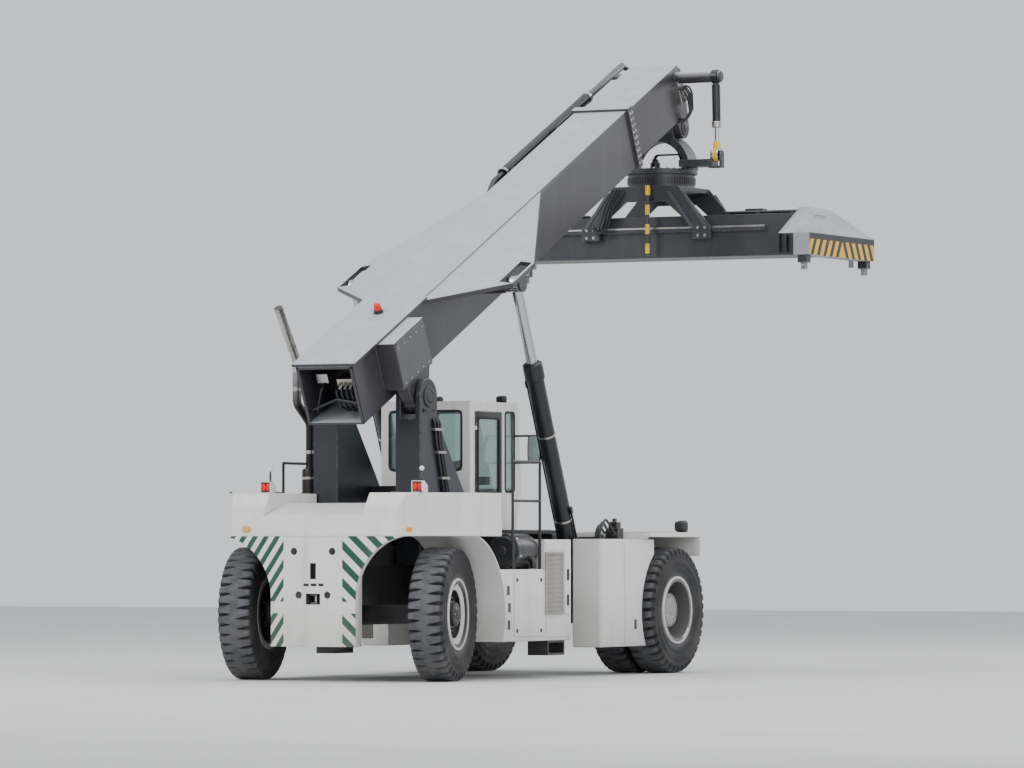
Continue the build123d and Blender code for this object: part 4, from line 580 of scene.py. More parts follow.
    def piece(self, name: str, finish: Finish, body: str, replaces: tuple[str, ...] = (), bevel: float = 0.0,
              segments: int = 2, sharp: float = 38.0) -> bpy.types.Object:
        """Finish the stock as one piece of the machine.

        Args:
            name: the piece's name.
            finish: what it is painted or made of.
            body: the CAD body that it rides on.
            replaces: CAD nodes that it stands for.
            bevel: width of the rounding on its edges, in metres.
            segments: steps across that rounding.
            sharp: edges above this angle, in degrees, stay sharp.

        Returns:
            The finished object.
        """
        return Piece.finish(self.mesh(name), name, finish, body, replaces, bevel, segments, sharp)


class Piece:
    """Turns meshes into finished pieces."""

    @staticmethod
    def evaluate(obj: bpy.types.Object) -> bpy.types.Mesh:
        """Apply an object's modifiers and return the plain mesh."""
        bpy.context.view_layer.update()
        deps = bpy.context.evaluated_depsgraph_get()
        made = bpy.data.meshes.new_from_object(obj.evaluated_get(deps))
        obj.modifiers.clear()
        obj.data = made
        return made

    @staticmethod
    def mark(mesh: bpy.types.Mesh, name: str, test: Callable[[bpy.types.MeshPolygon], bool]) -> None:
        """Store 1 on the faces that pass the test and 0 on the others."""
        layer = mesh.attributes.new(name, "FLOAT", "FACE")
        layer.data.foreach_set("value", [float(test(polygon)) for polygon in mesh.polygons])

    @staticmethod
    def width(mesh: bpy.types.Mesh, polygon: bpy.types.MeshPolygon) -> float:
        """Width of a face if it is a strip, from its area and its outline."""
        points = [mesh.vertices[index].co for index in polygon.vertices]
        return 2 * polygon.area / sum((a - b).length for a, b in zip(points, points[1:] + points[:1]))

    @staticmethod
    def weld(mesh: bpy.types.Mesh) -> None:
        """Join the mesh's meeting edges and point its faces outwards."""
        bm = bmesh.new()
        bm.from_mesh(mesh)
        bmesh.ops.remove_doubles(bm, verts=bm.verts[:], dist=5e-5)
        bmesh.ops.recalc_face_normals(bm, faces=bm.faces[:])
        bm.to_mesh(mesh)
        bm.free()

    @staticmethod
    def finish(mesh: bpy.types.Mesh, name: str, finish: Finish, body: str, replaces: tuple[str, ...] = (),
               bevel: float = 0.0, segments: int = 2, sharp: float = 38.0) -> bpy.types.Object:
        """Shade, bevel, paint and hang a mesh on its body; returns the object."""
        obj = bpy.data.objects.new(name, mesh)
        bpy.context.scene.collection.objects.link(obj)
        mesh.shade_smooth()
        mesh.set_sharp_from_angle(angle=math.radians(sharp))
        if bevel:
            round_off = obj.modifiers.new("edge", "BEVEL")
            round_off.width = bevel
            round_off.segments = segments
            round_off.limit_method = "ANGLE"
            round_off.angle_limit = math.radians(sharp)
            round_off.use_clamp_overlap = False
            round_off.harden_normals = False
            obj.modifiers.new("normals", "WEIGHTED_NORMAL").keep_sharp = False
            Piece.evaluate(obj)
            Piece.mark(obj.data, "edge", lambda polygon: Piece.width(obj.data, polygon) < bevel * 1.2)
        obj.data.name = name
        obj.data.materials.clear()
        obj.data.materials.append(Paints.of(finish))
        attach(obj, body)
        if replaces:
            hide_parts(*replaces)
        log.info("piece %s on %s, %d faces", name, body, len(obj.data.polygons))
        return obj


def softened(node: str, finish: Finish, body: str, bevel: float = 0.008, split: bool = False) -> bpy.types.Object:
    """Replace a CAD node by its own shape with rounded edges; returns the new piece."""
    return Stock().node(node, split).piece(node + "_body", finish, body, (node,), bevel)


class Tree:
    """A Geometry Nodes tree with named inputs."""

    def __init__(self, name: str) -> None:
        """Start a tree that takes and gives geometry."""
        self.tree = bpy.data.node_groups.new(name, "GeometryNodeTree")
        self.tree.interface.new_socket("Geometry", in_out="INPUT", socket_type="NodeSocketGeometry")
        self.tree.interface.new_socket("Geometry", in_out="OUTPUT", socket_type="NodeSocketGeometry")
        self.idents: dict[str, str] = {}
        self.given = self.tree.nodes.new("NodeGroupInput")
        self.result = self.tree.nodes.new("NodeGroupOutput")

    def size(self, name: str, kind: str) -> bpy.types.NodeSocket:
        """Add a named input of a kind such as Float, Int, Vector or Material."""
        socket = self.tree.interface.new_socket(name, in_out="INPUT", socket_type="NodeSocket" + kind)
        self.idents[name] = socket.identifier
        return self.given.outputs[name]

    def add(self, kind: str, links: dict[int | str, object] | None = None) -> bpy.types.Node:
        """Add a node and link or set its inputs."""
        node = self.tree.nodes.new(kind)
        for key, value in (links or {}).items():
            if isinstance(value, bpy.types.NodeSocket):
                self.tree.links.new(value, node.inputs[key])
            else:
                node.inputs[key].default_value = value
        return node

    def close(self, geometry: bpy.types.NodeSocket) -> None:
        """End the tree in Realize Instances and Set Material."""
        real = self.add("GeometryNodeRealizeInstances", {0: geometry})
        paint = self.add("GeometryNodeSetMaterial", {0: real.outputs[0], "Material": self.size("Material", "Material")})
        self.tree.links.new(paint.outputs[0], self.result.inputs[0])

    def run(self, base: Stock, finish: Finish, values: dict[str, object], place: Matrix | None = None) -> bpy.types.Mesh:
        """Run the tree on one base shape.

        Args:
            base: the shape that the tree repeats or the line that it follows.
            finish: the material that it ends with.
            values: the tree's named inputs.
            place: matrix that puts the result on the machine.

        Returns:
            The plain mesh.
        """
        obj = bpy.data.objects.new("work", base.mesh("work"))
        bpy.context.scene.collection.objects.link(obj)
        modifier = obj.modifiers.new("tree", "NODES")
        modifier.node_group = self.tree
        for key, value in {**values, "Material": Paints.of(finish)}.items():
            modifier[self.idents[key]] = value
        mesh = Piece.evaluate(obj)
        bpy.data.objects.remove(obj)
        if place:
            mesh.transform(place)
        return mesh


class Patterns:
    """The three trees that the machine uses: a ring, a grid and a bent pipe."""

    ring: Tree
    grid: Tree
    pipe: Tree

    @classmethod
    def build(cls) -> None:
        """Make the trees."""
        cls.ring = cls.make_ring()
        cls.grid = cls.make_grid()
        cls.pipe = cls.make_pipe()

    @staticmethod
    def make_ring() -> Tree:
        """Copies of the base round the Y axis; the base's X points outwards."""
        t = Tree("ring_of_parts")
        count = t.size("Count", "Int")
        radius = t.size("Radius", "Float")
        phase = t.size("Phase", "Float")
        line = t.add("GeometryNodeMeshLine", {"Count": count})
        line.mode = "OFFSET"
        line.inputs["Offset"].default_value = (0, 0, 0)
        step = t.add("ShaderNodeMath", {0: math.tau, 1: count})
        step.operation = "DIVIDE"
        angle = t.add("ShaderNodeMath", {0: t.add("GeometryNodeInputIndex").outputs[0], 1: step.outputs[0], 2: phase})
        angle.operation = "MULTIPLY_ADD"
        cos = t.add("ShaderNodeMath", {0: angle.outputs[0]})
        cos.operation = "COSINE"
        sin = t.add("ShaderNodeMath", {0: angle.outputs[0]})
        sin.operation = "SINE"
        spot = t.add("ShaderNodeCombineXYZ", {0: cos.outputs[0], 2: sin.outputs[0]})
        out = t.add("ShaderNodeVectorMath", {0: spot.outputs[0]})
        out.operation = "SCALE"
        t.tree.links.new(radius, out.inputs["Scale"])
        moved = t.add("GeometryNodeSetPosition", {0: line.outputs[0], "Position": out.outputs[0]})
        minus = t.add("ShaderNodeMath", {0: angle.outputs[0], 1: -1.0})
        minus.operation = "MULTIPLY"
        turn = t.add("ShaderNodeCombineXYZ", {1: minus.outputs[0]})
        copies = t.add("GeometryNodeInstanceOnPoints", {
            "Points": moved.outputs[0], "Instance": t.given.outputs[0], "Rotation": turn.outputs[0]})
        t.close(copies.outputs[0])
        return t

    @staticmethod
    def make_grid() -> Tree:
        """Copies of the base in rows and columns."""
        t = Tree("grid_of_parts")
        lines = []
        for word in ("A", "B"):
            line = t.add("GeometryNodeMeshLine", {"Count": t.size("Count " + word, "Int")})
            line.mode = "OFFSET"
            t.tree.links.new(t.size("Step " + word, "Vector"), line.inputs["Offset"])
            lines.append(line)
        rows = t.add("GeometryNodeInstanceOnPoints", {"Points": lines[0].outputs[0], "Instance": lines[1].outputs[0]})
        points = t.add("GeometryNodeRealizeInstances", {0: rows.outputs[0]})
        copies = t.add("GeometryNodeInstanceOnPoints", {"Points": points.outputs[0], "Instance": t.given.outputs[0]})
        t.close(copies.outputs[0])
        return t

    @staticmethod
    def make_pipe() -> Tree:
        """Round pipe with rolled bends along the base's line of edges."""
        t = Tree("bent_pipe")
        curve = t.add("GeometryNodeMeshToCurve", {0: t.given.outputs[0]})
        fillet = t.add("GeometryNodeFilletCurve", {0: curve.outputs[0], "Radius": t.size("Bend", "Float")})
        if "Mode" in fillet.inputs:
            fillet.inputs["Mode"].default_value = "Poly"
        else:
            fillet.mode = "POLY"
        fillet.inputs["Count"].default_value = 6
        fillet.inputs["Limit Radius"].default_value = True
        profile = t.add("GeometryNodeCurvePrimitiveCircle", {"Resolution": 12, "Radius": t.size("Radius", "Float")})
        pipe = t.add("GeometryNodeCurveToMesh", {0: fillet.outputs[0], 1: profile.outputs[0], "Fill Caps": True})
        t.close(pipe.outputs[0])
        return t


def pipes(name: str, lines: list[list[Point]], radius: float, finish: Finish, body: str, bend: float = 0.08,
          place: Matrix | None = None, replaces: tuple[str, ...] = ()) -> bpy.types.Object:
    """Make one piece of bent pipes or rails; returns it.

    Args:
        name: the piece's name.
        lines: the corner points of each pipe.
        radius: the pipes' radius.
        finish: their finish.
        body: the body that they ride on.
        bend: the radius of the bends.
        place: matrix for the points.
        replaces: CAD nodes that it stands for.

    Returns:
        The finished object.
    """
    base = Stock()
    for points in lines:
        verts = [base.bm.verts.new(p) for p in points]
        for first, second in zip(verts, verts[1:]):
            base.bm.edges.new((first, second))
    mesh = Patterns.pipe.run(base, finish, {"Radius": radius, "Bend": bend}, place)
    return Piece.finish(mesh, name, finish, body, replaces)


def ringed(name: str, base: Stock, count: int, radius: float, finish: Finish, body: str, place: Matrix,
           phase: float = 0.0, replaces: tuple[str, ...] = (), weld: bool = False, sharp: float = 38.0) -> bpy.types.Object:
    """Make one piece of copies in a ring about the Y axis of place.

    Args:
        name: the piece's name.
        base: the shape to repeat, its X pointing outwards.
        count: how many copies.
        radius: how far out they stand.
        finish: their finish.
        body: the body that they ride on.
        place: matrix of the ring.
        phase: turn of the whole ring, in radians.
        replaces: CAD nodes that it stands for.
        weld: join copies that share an edge into one closed shell.
        sharp: edges above this angle, in degrees, stay sharp.

    Returns:
        The finished object.
    """
    mesh = Patterns.ring.run(base, finish, {"Count": count, "Radius": radius, "Phase": phase}, place)
    if weld:
        Piece.weld(mesh)
    return Piece.finish(mesh, name, finish, body, replaces, sharp=sharp)


def gridded(name: str, base: Stock, counts: tuple[int, int], steps: tuple[Point, Point], finish: Finish, body: str,
            place: Matrix | None = None) -> bpy.types.Object:
    """Make one piece of copies in rows and columns; returns it."""
    values = {"Count A": counts[0], "Count B": counts[1], "Step A": steps[0], "Step B": steps[1]}
    mesh = Patterns.grid.run(base, finish, values, place)
    return Piece.finish(mesh, name, finish, body)


def half_turn(side: int) -> Matrix:
    """Turn about Z that makes +Y point away from the machine on the given side."""
    return Matrix.Rotation(0 if side > 0 else math.pi, 4, "Z")


@dataclass
class Tyre:
    """Industrial tyre: closed tread middle and deep wedge grooves in both shoulders, about the Y axis."""

    pitches: int = 40
    columns: int = 8
    groove_depth: float = 0.056
    groove_top: float = 0.066
    groove_foot: float = 0.026
    sweep: float = 0.024
    stations: tuple[tuple[float, float, float, float], ...] = (
        (0.9250, 0.000, 0.00, 0.00), (0.9250, 0.034, 0.00, 0.00), (0.9250, 0.048, 0.04, 0.16), (0.9250, 0.070, 0.42, 0.36),
        (0.9250, 0.105, 0.80, 0.58), (0.9248, 0.150, 1.00, 0.82), (0.9235, 0.190, 1.00, 0.98), (0.9130, 0.213, 1.00, 1.04),
        (0.8950, 0.229, 0.95, 1.05), (0.8700, 0.240, 0.80, 1.00), (0.8420, 0.2450, 0.40, 0.86), (0.8180, 0.2470, 0.00, 0.60),
        (0.8000, 0.2478, 0.00, 0.00), (0.7850, 0.2488, 0.00, 0.00), (0.7800, 0.2465, 0.00, 0.00), (0.7600, 0.2470, 0.00, 0.00),
        (0.7550, 0.2498, 0.00, 0.00), (0.7000, 0.2500, 0.00, 0.00), (0.6600, 0.2490, 0.00, 0.00), (0.6550, 0.2460, 0.00, 0.00),
        (0.6450, 0.2455, 0.00, 0.00), (0.6400, 0.2480, 0.00, 0.00), (0.5900, 0.2410, 0.00, 0.00), (0.5500, 0.2290, 0.00, 0.00),
        (0.5240, 0.2140, 0.00, 0.00), (0.5060, 0.2020, 0.00, 0.00), (0.5000, 0.2000, 0.00, 0.00), (0.4400, 0.2000, 0.00, 0.00),
    )

    def offset(self, column: int, width: float, radius: float) -> float:
        """Angle of a column from its groove's middle, at a station of the given groove width."""
        pitch, half, count = math.tau / self.pitches, self.columns // 2, abs(column)
        if not width:
            return column * pitch / self.columns
        foot, top = (share * width / radius / 2 for share in (self.groove_foot, self.groove_top))
        steps = {0: 0.0, 1: foot, 2: top}
        angle = steps[count] if count < 3 else top + (count - 2) / (half - 2) * (pitch / 2 - top)
        return math.copysign(angle, column)

    def sector(self) -> Stock:
        """One pitch of the tyre, from bead to bead; X points outwards and Y along the axle."""
        stock = Stock()
        tread = stock.bm.verts.layers.float.new("tread")
        pitch, half = math.tau / self.pitches, self.columns // 2
        rows = []
        for k in range(-half, half + 1):
            row = []
            for side in (1, -1):
                column = k if side > 0 else (k - half if k > 0 else k + half)
                middle = 0.0 if side > 0 else (pitch / 2 if k > 0 else -pitch / 2)
                line = []
                for radius, y, depth, width in self.stations[(0 if side > 0 else 1):]:
                    floor = abs(column) < 2
                    down = depth * self.groove_depth if floor else 0.0
                    angle = middle + self.offset(column, width, radius) + self.sweep * side * y / 0.25
                    reach = radius - down
                    vert = stock.bm.verts.new((reach * math.cos(angle), side * (y - (0.3 * down if y > 0.2 else 0.0)),
                                               reach * math.sin(angle)))
                    vert[tread] = 0.0 if (floor and depth) or y > 0.235 else min(1.0, (0.235 - y) / 0.02)
                    line.append(vert)
                row += line[::-1] if side > 0 else line
            rows.append(row)
        count = len(rows[0])
        for first, second in zip(rows, rows[1:]):
            for i in range(count):
                j = (i + 1) % count
                stock.bm.faces.new((first[i], first[j], second[j], second[i]))
        return stock

    def fit(self, name: str, place: Matrix, body: str, node: str) -> None:
        """Build one tyre at place for a CAD node."""
        ringed(name, self.sector(), self.pitches, 0.0, RUBBER, body, place, replaces=(node,), weld=True, sharp=42.0)


@dataclass
class RunningGear:
    """Tyres, rims, hubs and axles."""

    tyre: Tyre
    rear_centre: float = 0.22
    twin_inner: float = 1.25
    twin_outer: float = 1.81

    def nuts(self, name: str, place: Matrix, reach: float, circle: float, count: int, body: str) -> None:
        """Ring of wheel nuts on studs, facing along +Y of place at reach."""
        base = Stock()
        base.bar((0, 0, 0), (0, 0.012, 0), 0.024, 12)
        base.bar((0, 0.010, 0), (0, 0.032, 0), 0.019, 6)
        base.bar((0, 0.030, 0), (0, 0.050, 0), 0.011, 10)
        ringed(name, base, count, circle, STEEL, body, place @ Matrix.Translation((0, reach, 0)))

    def lock_ring(self, name: str, place: Matrix, body: str) -> None:
        """Split ring at a rim's edge, and the tyre's valve."""
        stock = Stock()
        stock.turned([(0.446, 0.222), (0.446, 0.2245), (0.462, 0.2248), (0.470, 0.236), (0.492, 0.232), (0.498, 0.222)],
                     (0, 0, 0), Axis.Y, 64, place)
        stock.bar((0.395, 0.10, 0), (0.395, 0.19, 0), 0.009, 10, place)
        stock.bar((0.395, 0.185, 0), (0.395, 0.205, 0), 0.013, 10, place)
        stock.piece(name, RIM, body)

    def build(self) -> None:
        """Dress all six tyres, the rims and the axles."""
        for name, side in SIDES:
            knuckle = Matrix.Translation((REAR_AXLE_X, side * KINGPIN_Y, AXLE_Z)) @ Matrix.Rotation(STEER, 4, "Z")
            self.rear(name, knuckle @ half_turn(side) @ Matrix.Translation((0, self.rear_centre, 0)))
            self.front(name, Matrix.Translation((FRONT_AXLE_X, 0, AXLE_Z)) @ half_turn(side))
            # Mark the rims' recessed centres for the darker dish colour: painted shade.
            rim = softened("rear_rim_" + name, REAR_RIM, "rear_wheel_" + name, 0.004)
            back = (knuckle @ half_turn(side)).inverted()
            Piece.mark(rim.data, "dish", lambda face: math.hypot((back @ face.center).x, (back @ face.center).z) < 0.437)
            rims = softened("front_rims_" + name, RIM, "front_wheels_" + name, 0.004)
            Piece.mark(rims.data, "dish", lambda face: math.hypot(face.center.x - FRONT_AXLE_X, face.center.z - AXLE_Z) < 0.437)
            softened("knuckle_" + name, AXLE, "knuckle_" + name, 0.004)
        for node in ("drive_axle", "steer_axle"):
            softened(node, AXLE, "chassis", 0.01)

    def rear(self, name: str, place: Matrix) -> None:
        """Steered wheel: dark hub in a light rim."""
        body = "rear_wheel_" + name
        self.tyre.fit("rear_tyre_%s_tread" % name, place, body, "rear_tyre_" + name)
        self.nuts("rear_nuts_" + name, place, 0.068, 0.245, 16, body)
        self.lock_ring("rear_lock_ring_" + name, place, body)
        hub = Stock()
        hub.turned([(0.0005, 0.16), (0.0005, 0.232), (0.07, 0.232), (0.085, 0.222), (0.15, 0.20), (0.165, 0.17), (0.165, 0.16)],
                   (0, 0, 0), Axis.Y, 40, place)
        hub.turned([(0.162, 0.055), (0.162, 0.105), (0.18, 0.100), (0.20, 0.070), (0.325, 0.066), (0.330, 0.055)], (0, 0, 0),
                   Axis.Y, 48, place)
        hub.piece("rear_hub_cap_" + name, AXLE, body)
        ring = Stock()
        ring.turned([(0.336, 0.155), (0.334, 0.168), (0.340, 0.176), (0.430, 0.192), (0.449, 0.206), (0.449, 0.190), (0.430, 0.176)],
                    (0, 0, 0), Axis.Y, 64, place)
        ring.piece("rear_rim_ring_" + name, RIM, body)
        bolt = Stock().bolt((0, 0, 0), Vector((0, 1, 0)), 0.011, 0.012)
        ringed("rear_hub_bolts_" + name, bolt, 8, 0.118, STEEL, body, place @ Matrix.Translation((0, 0.211, 0)))

    def front(self, name: str, axle: Matrix) -> None:
        """Twin drive wheels on a planetary hub."""
        body = "front_wheels_" + name
        for index, y in enumerate((self.twin_inner, self.twin_outer)):
            self.tyre.fit("front_tyre_%s_tread_%d" % (name, index), axle @ Matrix.Translation((0, y, 0)), body,
                          "front_tyres_" + name)
        outer = axle @ Matrix.Translation((0, self.twin_outer, 0))
        self.nuts("front_nuts_" + name, outer, -0.199, 0.36, 20, body)
        self.lock_ring("front_lock_ring_" + name, outer, body)
        # The hub cap is grey: painted shade on the rim's silver.
        cap = Stock()
        cap.turned([(0.0005, 0.09), (0.0005, 0.128), (0.05, 0.128), (0.06, 0.116), (0.16, 0.112), (0.23, 0.104), (0.252, 0.085),
                    (0.253, -0.16), (0.27, -0.18), (0.275, -0.198), (0.252, -0.198)], (0, 0, 0), Axis.Y, 48, outer)
        cap.piece("front_hub_cap_" + name, HUB_IN_SHADE, body)
        bolt = Stock().bolt((0, 0, 0), Vector((0, 1, 0)), 0.013, 0.014)
        ringed("front_hub_bolts_" + name, bolt, 16, 0.205, STEEL, body, outer @ Matrix.Translation((0, 0.107, 0)))


@dataclass
class Tail:
    """Counterweight, tow pocket, lamps and the white cover above the rear wheels."""

    face_x: float = REAR_AXLE_X - 1.0
    bolt_y: float = 0.30
    bolt_z: float = 1.79
    lamp_x: float = REAR_AXLE_X - 0.13
    lamp_y: float = 1.20
    lamp_half: float = 0.085
    top: float = 2.6
    slot_z: float = 1.33
    slots: tuple[tuple[float, float], ...] = ((-0.165, -0.085), (-0.055, 0.035), (0.065, 0.150))
    marker_y: float = 1.05
    marker_z: float = 2.09

    def build(self) -> None:
        """Dress the tail."""
        self.weight()
        cutter = Stock().turned([(0.0005, -0.01), (0.0005, 0.012), (0.044, 0.012), (0.044, -0.01)], (0, 0, 0), Axis.X, 32,
                                Matrix.Translation((self.face_x, self.marker_y, self.marker_z)) @ Matrix.Diagonal((1, 1.6, 1, 1)))
        Stock().node("hood").carve(cutter).piece("hood_body", WHITE, "chassis", ("hood",), 0.012)
        self.tow_area()
        for name, side in SIDES:
            self.lamp(name, side)
        self.covers()

    def weight(self) -> None:
        """The counterweight's own shape, with shallow recesses for the plugs and bolts on its plate."""
        x, cutter = self.face_x, Stock()
        for y, z, radius in self.plugs():
            cutter.bar((x - 0.01, y, z), (x + 0.022, y, z), radius, 24)
        for y0, y1 in self.slots:
            cutter.box((x - 0.01, y0, self.slot_z - 0.018), (x + 0.022, y1, self.slot_z + 0.018))
        plate = Stock().node("counterweight").carve(cutter).piece("counterweight_body", TAIL, "chassis", ("counterweight",), 0.006)
        Piece.mark(plate.data, "dish", lambda face: face.center.x > x + 0.004 and abs(face.center.y) < 0.35 and (
            face.center.x < x + 0.45) and 0.9 < face.center.z < 1.9)

    def plugs(self) -> list[tuple[float, float, float]]:
        """Y, Z and radius of the round recesses on the plate."""
        return [(side * y, z, radius) for side in (-1, 1) for y, z, radius in ((0.225, 1.19, 0.05), (self.bolt_y, self.bolt_z, 0.05))]

    def tow_area(self) -> None:
        """Plugs, bolts and the tow pin on the tail plate."""
        x = self.face_x
        dark = Stock()
        for y, z, radius in self.plugs():
            dark.turned([(0.0005, 0.0), (0.0005, 0.003), (radius - 0.008, 0.003), (radius - 0.001, 0.0)], (x + 0.020, y, z), Axis.X, 28,
                        None)
            if z > 1.5:
                dark.bar((x + 0.022, y, z), (x + 0.003, y, z), 0.026, 6)
        for y0, y1 in self.slots:
            dark.box((x + 0.014, y0 + 0.001, self.slot_z - 0.017), (x + 0.024, y1 - 0.001, self.slot_z + 0.017))
        dark.box((x + 0.074, -0.044, 1.412), (x + 0.079, 0.044, 1.628))
        dark.piece("tail_plugs", CHASSIS, "chassis", bevel=0.0015)
        pin = Stock()
        pin.bar((x + 0.1, 0, 1.062), (x + 0.1, 0, 1.208), 0.0245, 20)
        pin.piece("tow_pin_steel", STEEL, "chassis")

    def lamp(self, name: str, side: int) -> None:
        """Red lamp pair in a white bracket, a small round lamp behind it and an oval amber marker."""
        x, y, z, half = self.lamp_x, side * self.lamp_y, self.top, self.lamp_half
        case = Stock()
        case.box((x - half, y - half, z), (x + half, y + half, z + 0.012))
        for y0, y1 in ((y - half, y - half + 0.012), (y + half - 0.012, y + half)):
            case.plate([(x - half, z), (x + half, z), (x + half, z + 0.10), (x - 0.02, z + 0.170), (x - half, z + 0.170)], Axis.Y,
                       y0, y1)
        case.box((x - half, y - half, z + 0.158), (x - 0.02, y + half, z + 0.170))
        case.piece("lamp_bracket_" + name, WHITE, "chassis", ("tail_lamps",), 0.003)
        back = Stock().box((x - half + 0.022, y - half + 0.016, z + 0.016), (x + 0.01, y + half - 0.016, z + 0.154))
        back.bar((x + half - 0.02, y, z + 0.01), (x + half - 0.02, y, z + 0.31), 0.015, 14)
        back.piece("lamp_housing_" + name, RAIL, "chassis", bevel=0.006)
        lens = Stock()
        for shift in (-0.034, 0.034):
            lens.turned([(0.0005, 0.0), (0.0005, 0.024), (0.012, 0.023), (0.024, 0.019), (0.031, 0.010), (0.033, 0.0)],
                        (0, 0, 0), Axis.X, 24, Matrix.Translation((x - half + 0.024, y + shift, z + 0.085)) @ Matrix.Diagonal(
                            (-1, 1, 1.75, 1)))
        lens.piece("red_lamps_" + name, RED_LENS, "chassis")
        ball = Stock()
        ball.turned([(0.0005, -0.0345)] + [(0.035 * math.cos(t), 0.035 * math.sin(t)) for t in
                                           (math.radians(a) for a in range(-70, 71, 20))] + [(0.0005, 0.0345)],
                    (x + half - 0.02, y, z + 0.34), Axis.Z, 24)
        ball.piece("round_lamp_" + name, LAMP, "chassis")
        oval = Stock()
        if side > 0:
            place = Matrix.Translation((self.face_x + 0.008, self.marker_y, self.marker_z)) @ Matrix.Rotation(math.pi, 4, "Z")
        else:
            place = Matrix.Translation((self.face_x + 0.20, -1.29 - 0.20 * 0.71 / 1.4, self.marker_z)) @ Matrix.Rotation(
                math.pi * 1.5 - math.atan2(0.71, 1.4), 4, "Z")
        oval.turned([(0.0005, -0.002), (0.0005, 0.006), (0.02, 0.0055), (0.034, 0.003), (0.04, -0.002)], (0, 0, 0), Axis.X, 32,
                    place @ Matrix.Diagonal((1, 1.6, 1, 1)))
        oval.piece("oval_marker_" + name, AMBER, "chassis")

    def covers(self) -> None:
        """Hinges, handles and lifting points of the cover, and the air slots on its left."""
        trim = Stock()
        for side in (-1, 1):
            for x in (self.face_x + 0.55, self.face_x + 1.30):
                trim.box((x, side * 0.90, self.top - 0.004), (x + 0.26, side * 0.925, self.top + 0.006))
                trim.bar((x + 0.02, side * 0.912, self.top + 0.010), (x + 0.24, side * 0.912, self.top + 0.010), 0.009, 10)
            for x in (self.face_x + 0.35, self.face_x + 1.45):
                trim.bolt((x, side * 1.5, self.top), Vector((0, 0, 1)), 0.02, 0.02)
        trim.piece("cover_hinges", RAIL, "chassis", bevel=0.002)
        slat = Stock().box((-0.2, -0.006, -0.012), (0.2, 0.010, 0.012), Matrix.Rotation(math.radians(-35), 4, "X"))
        place = Matrix.Translation((REAR_AXLE_X + 0.56, 2.0, 2.14))
        gridded("cover_slats", slat, (9, 1), ((0, 0, 0.045), (0, 0, 0)), CHASSIS, "chassis", place)


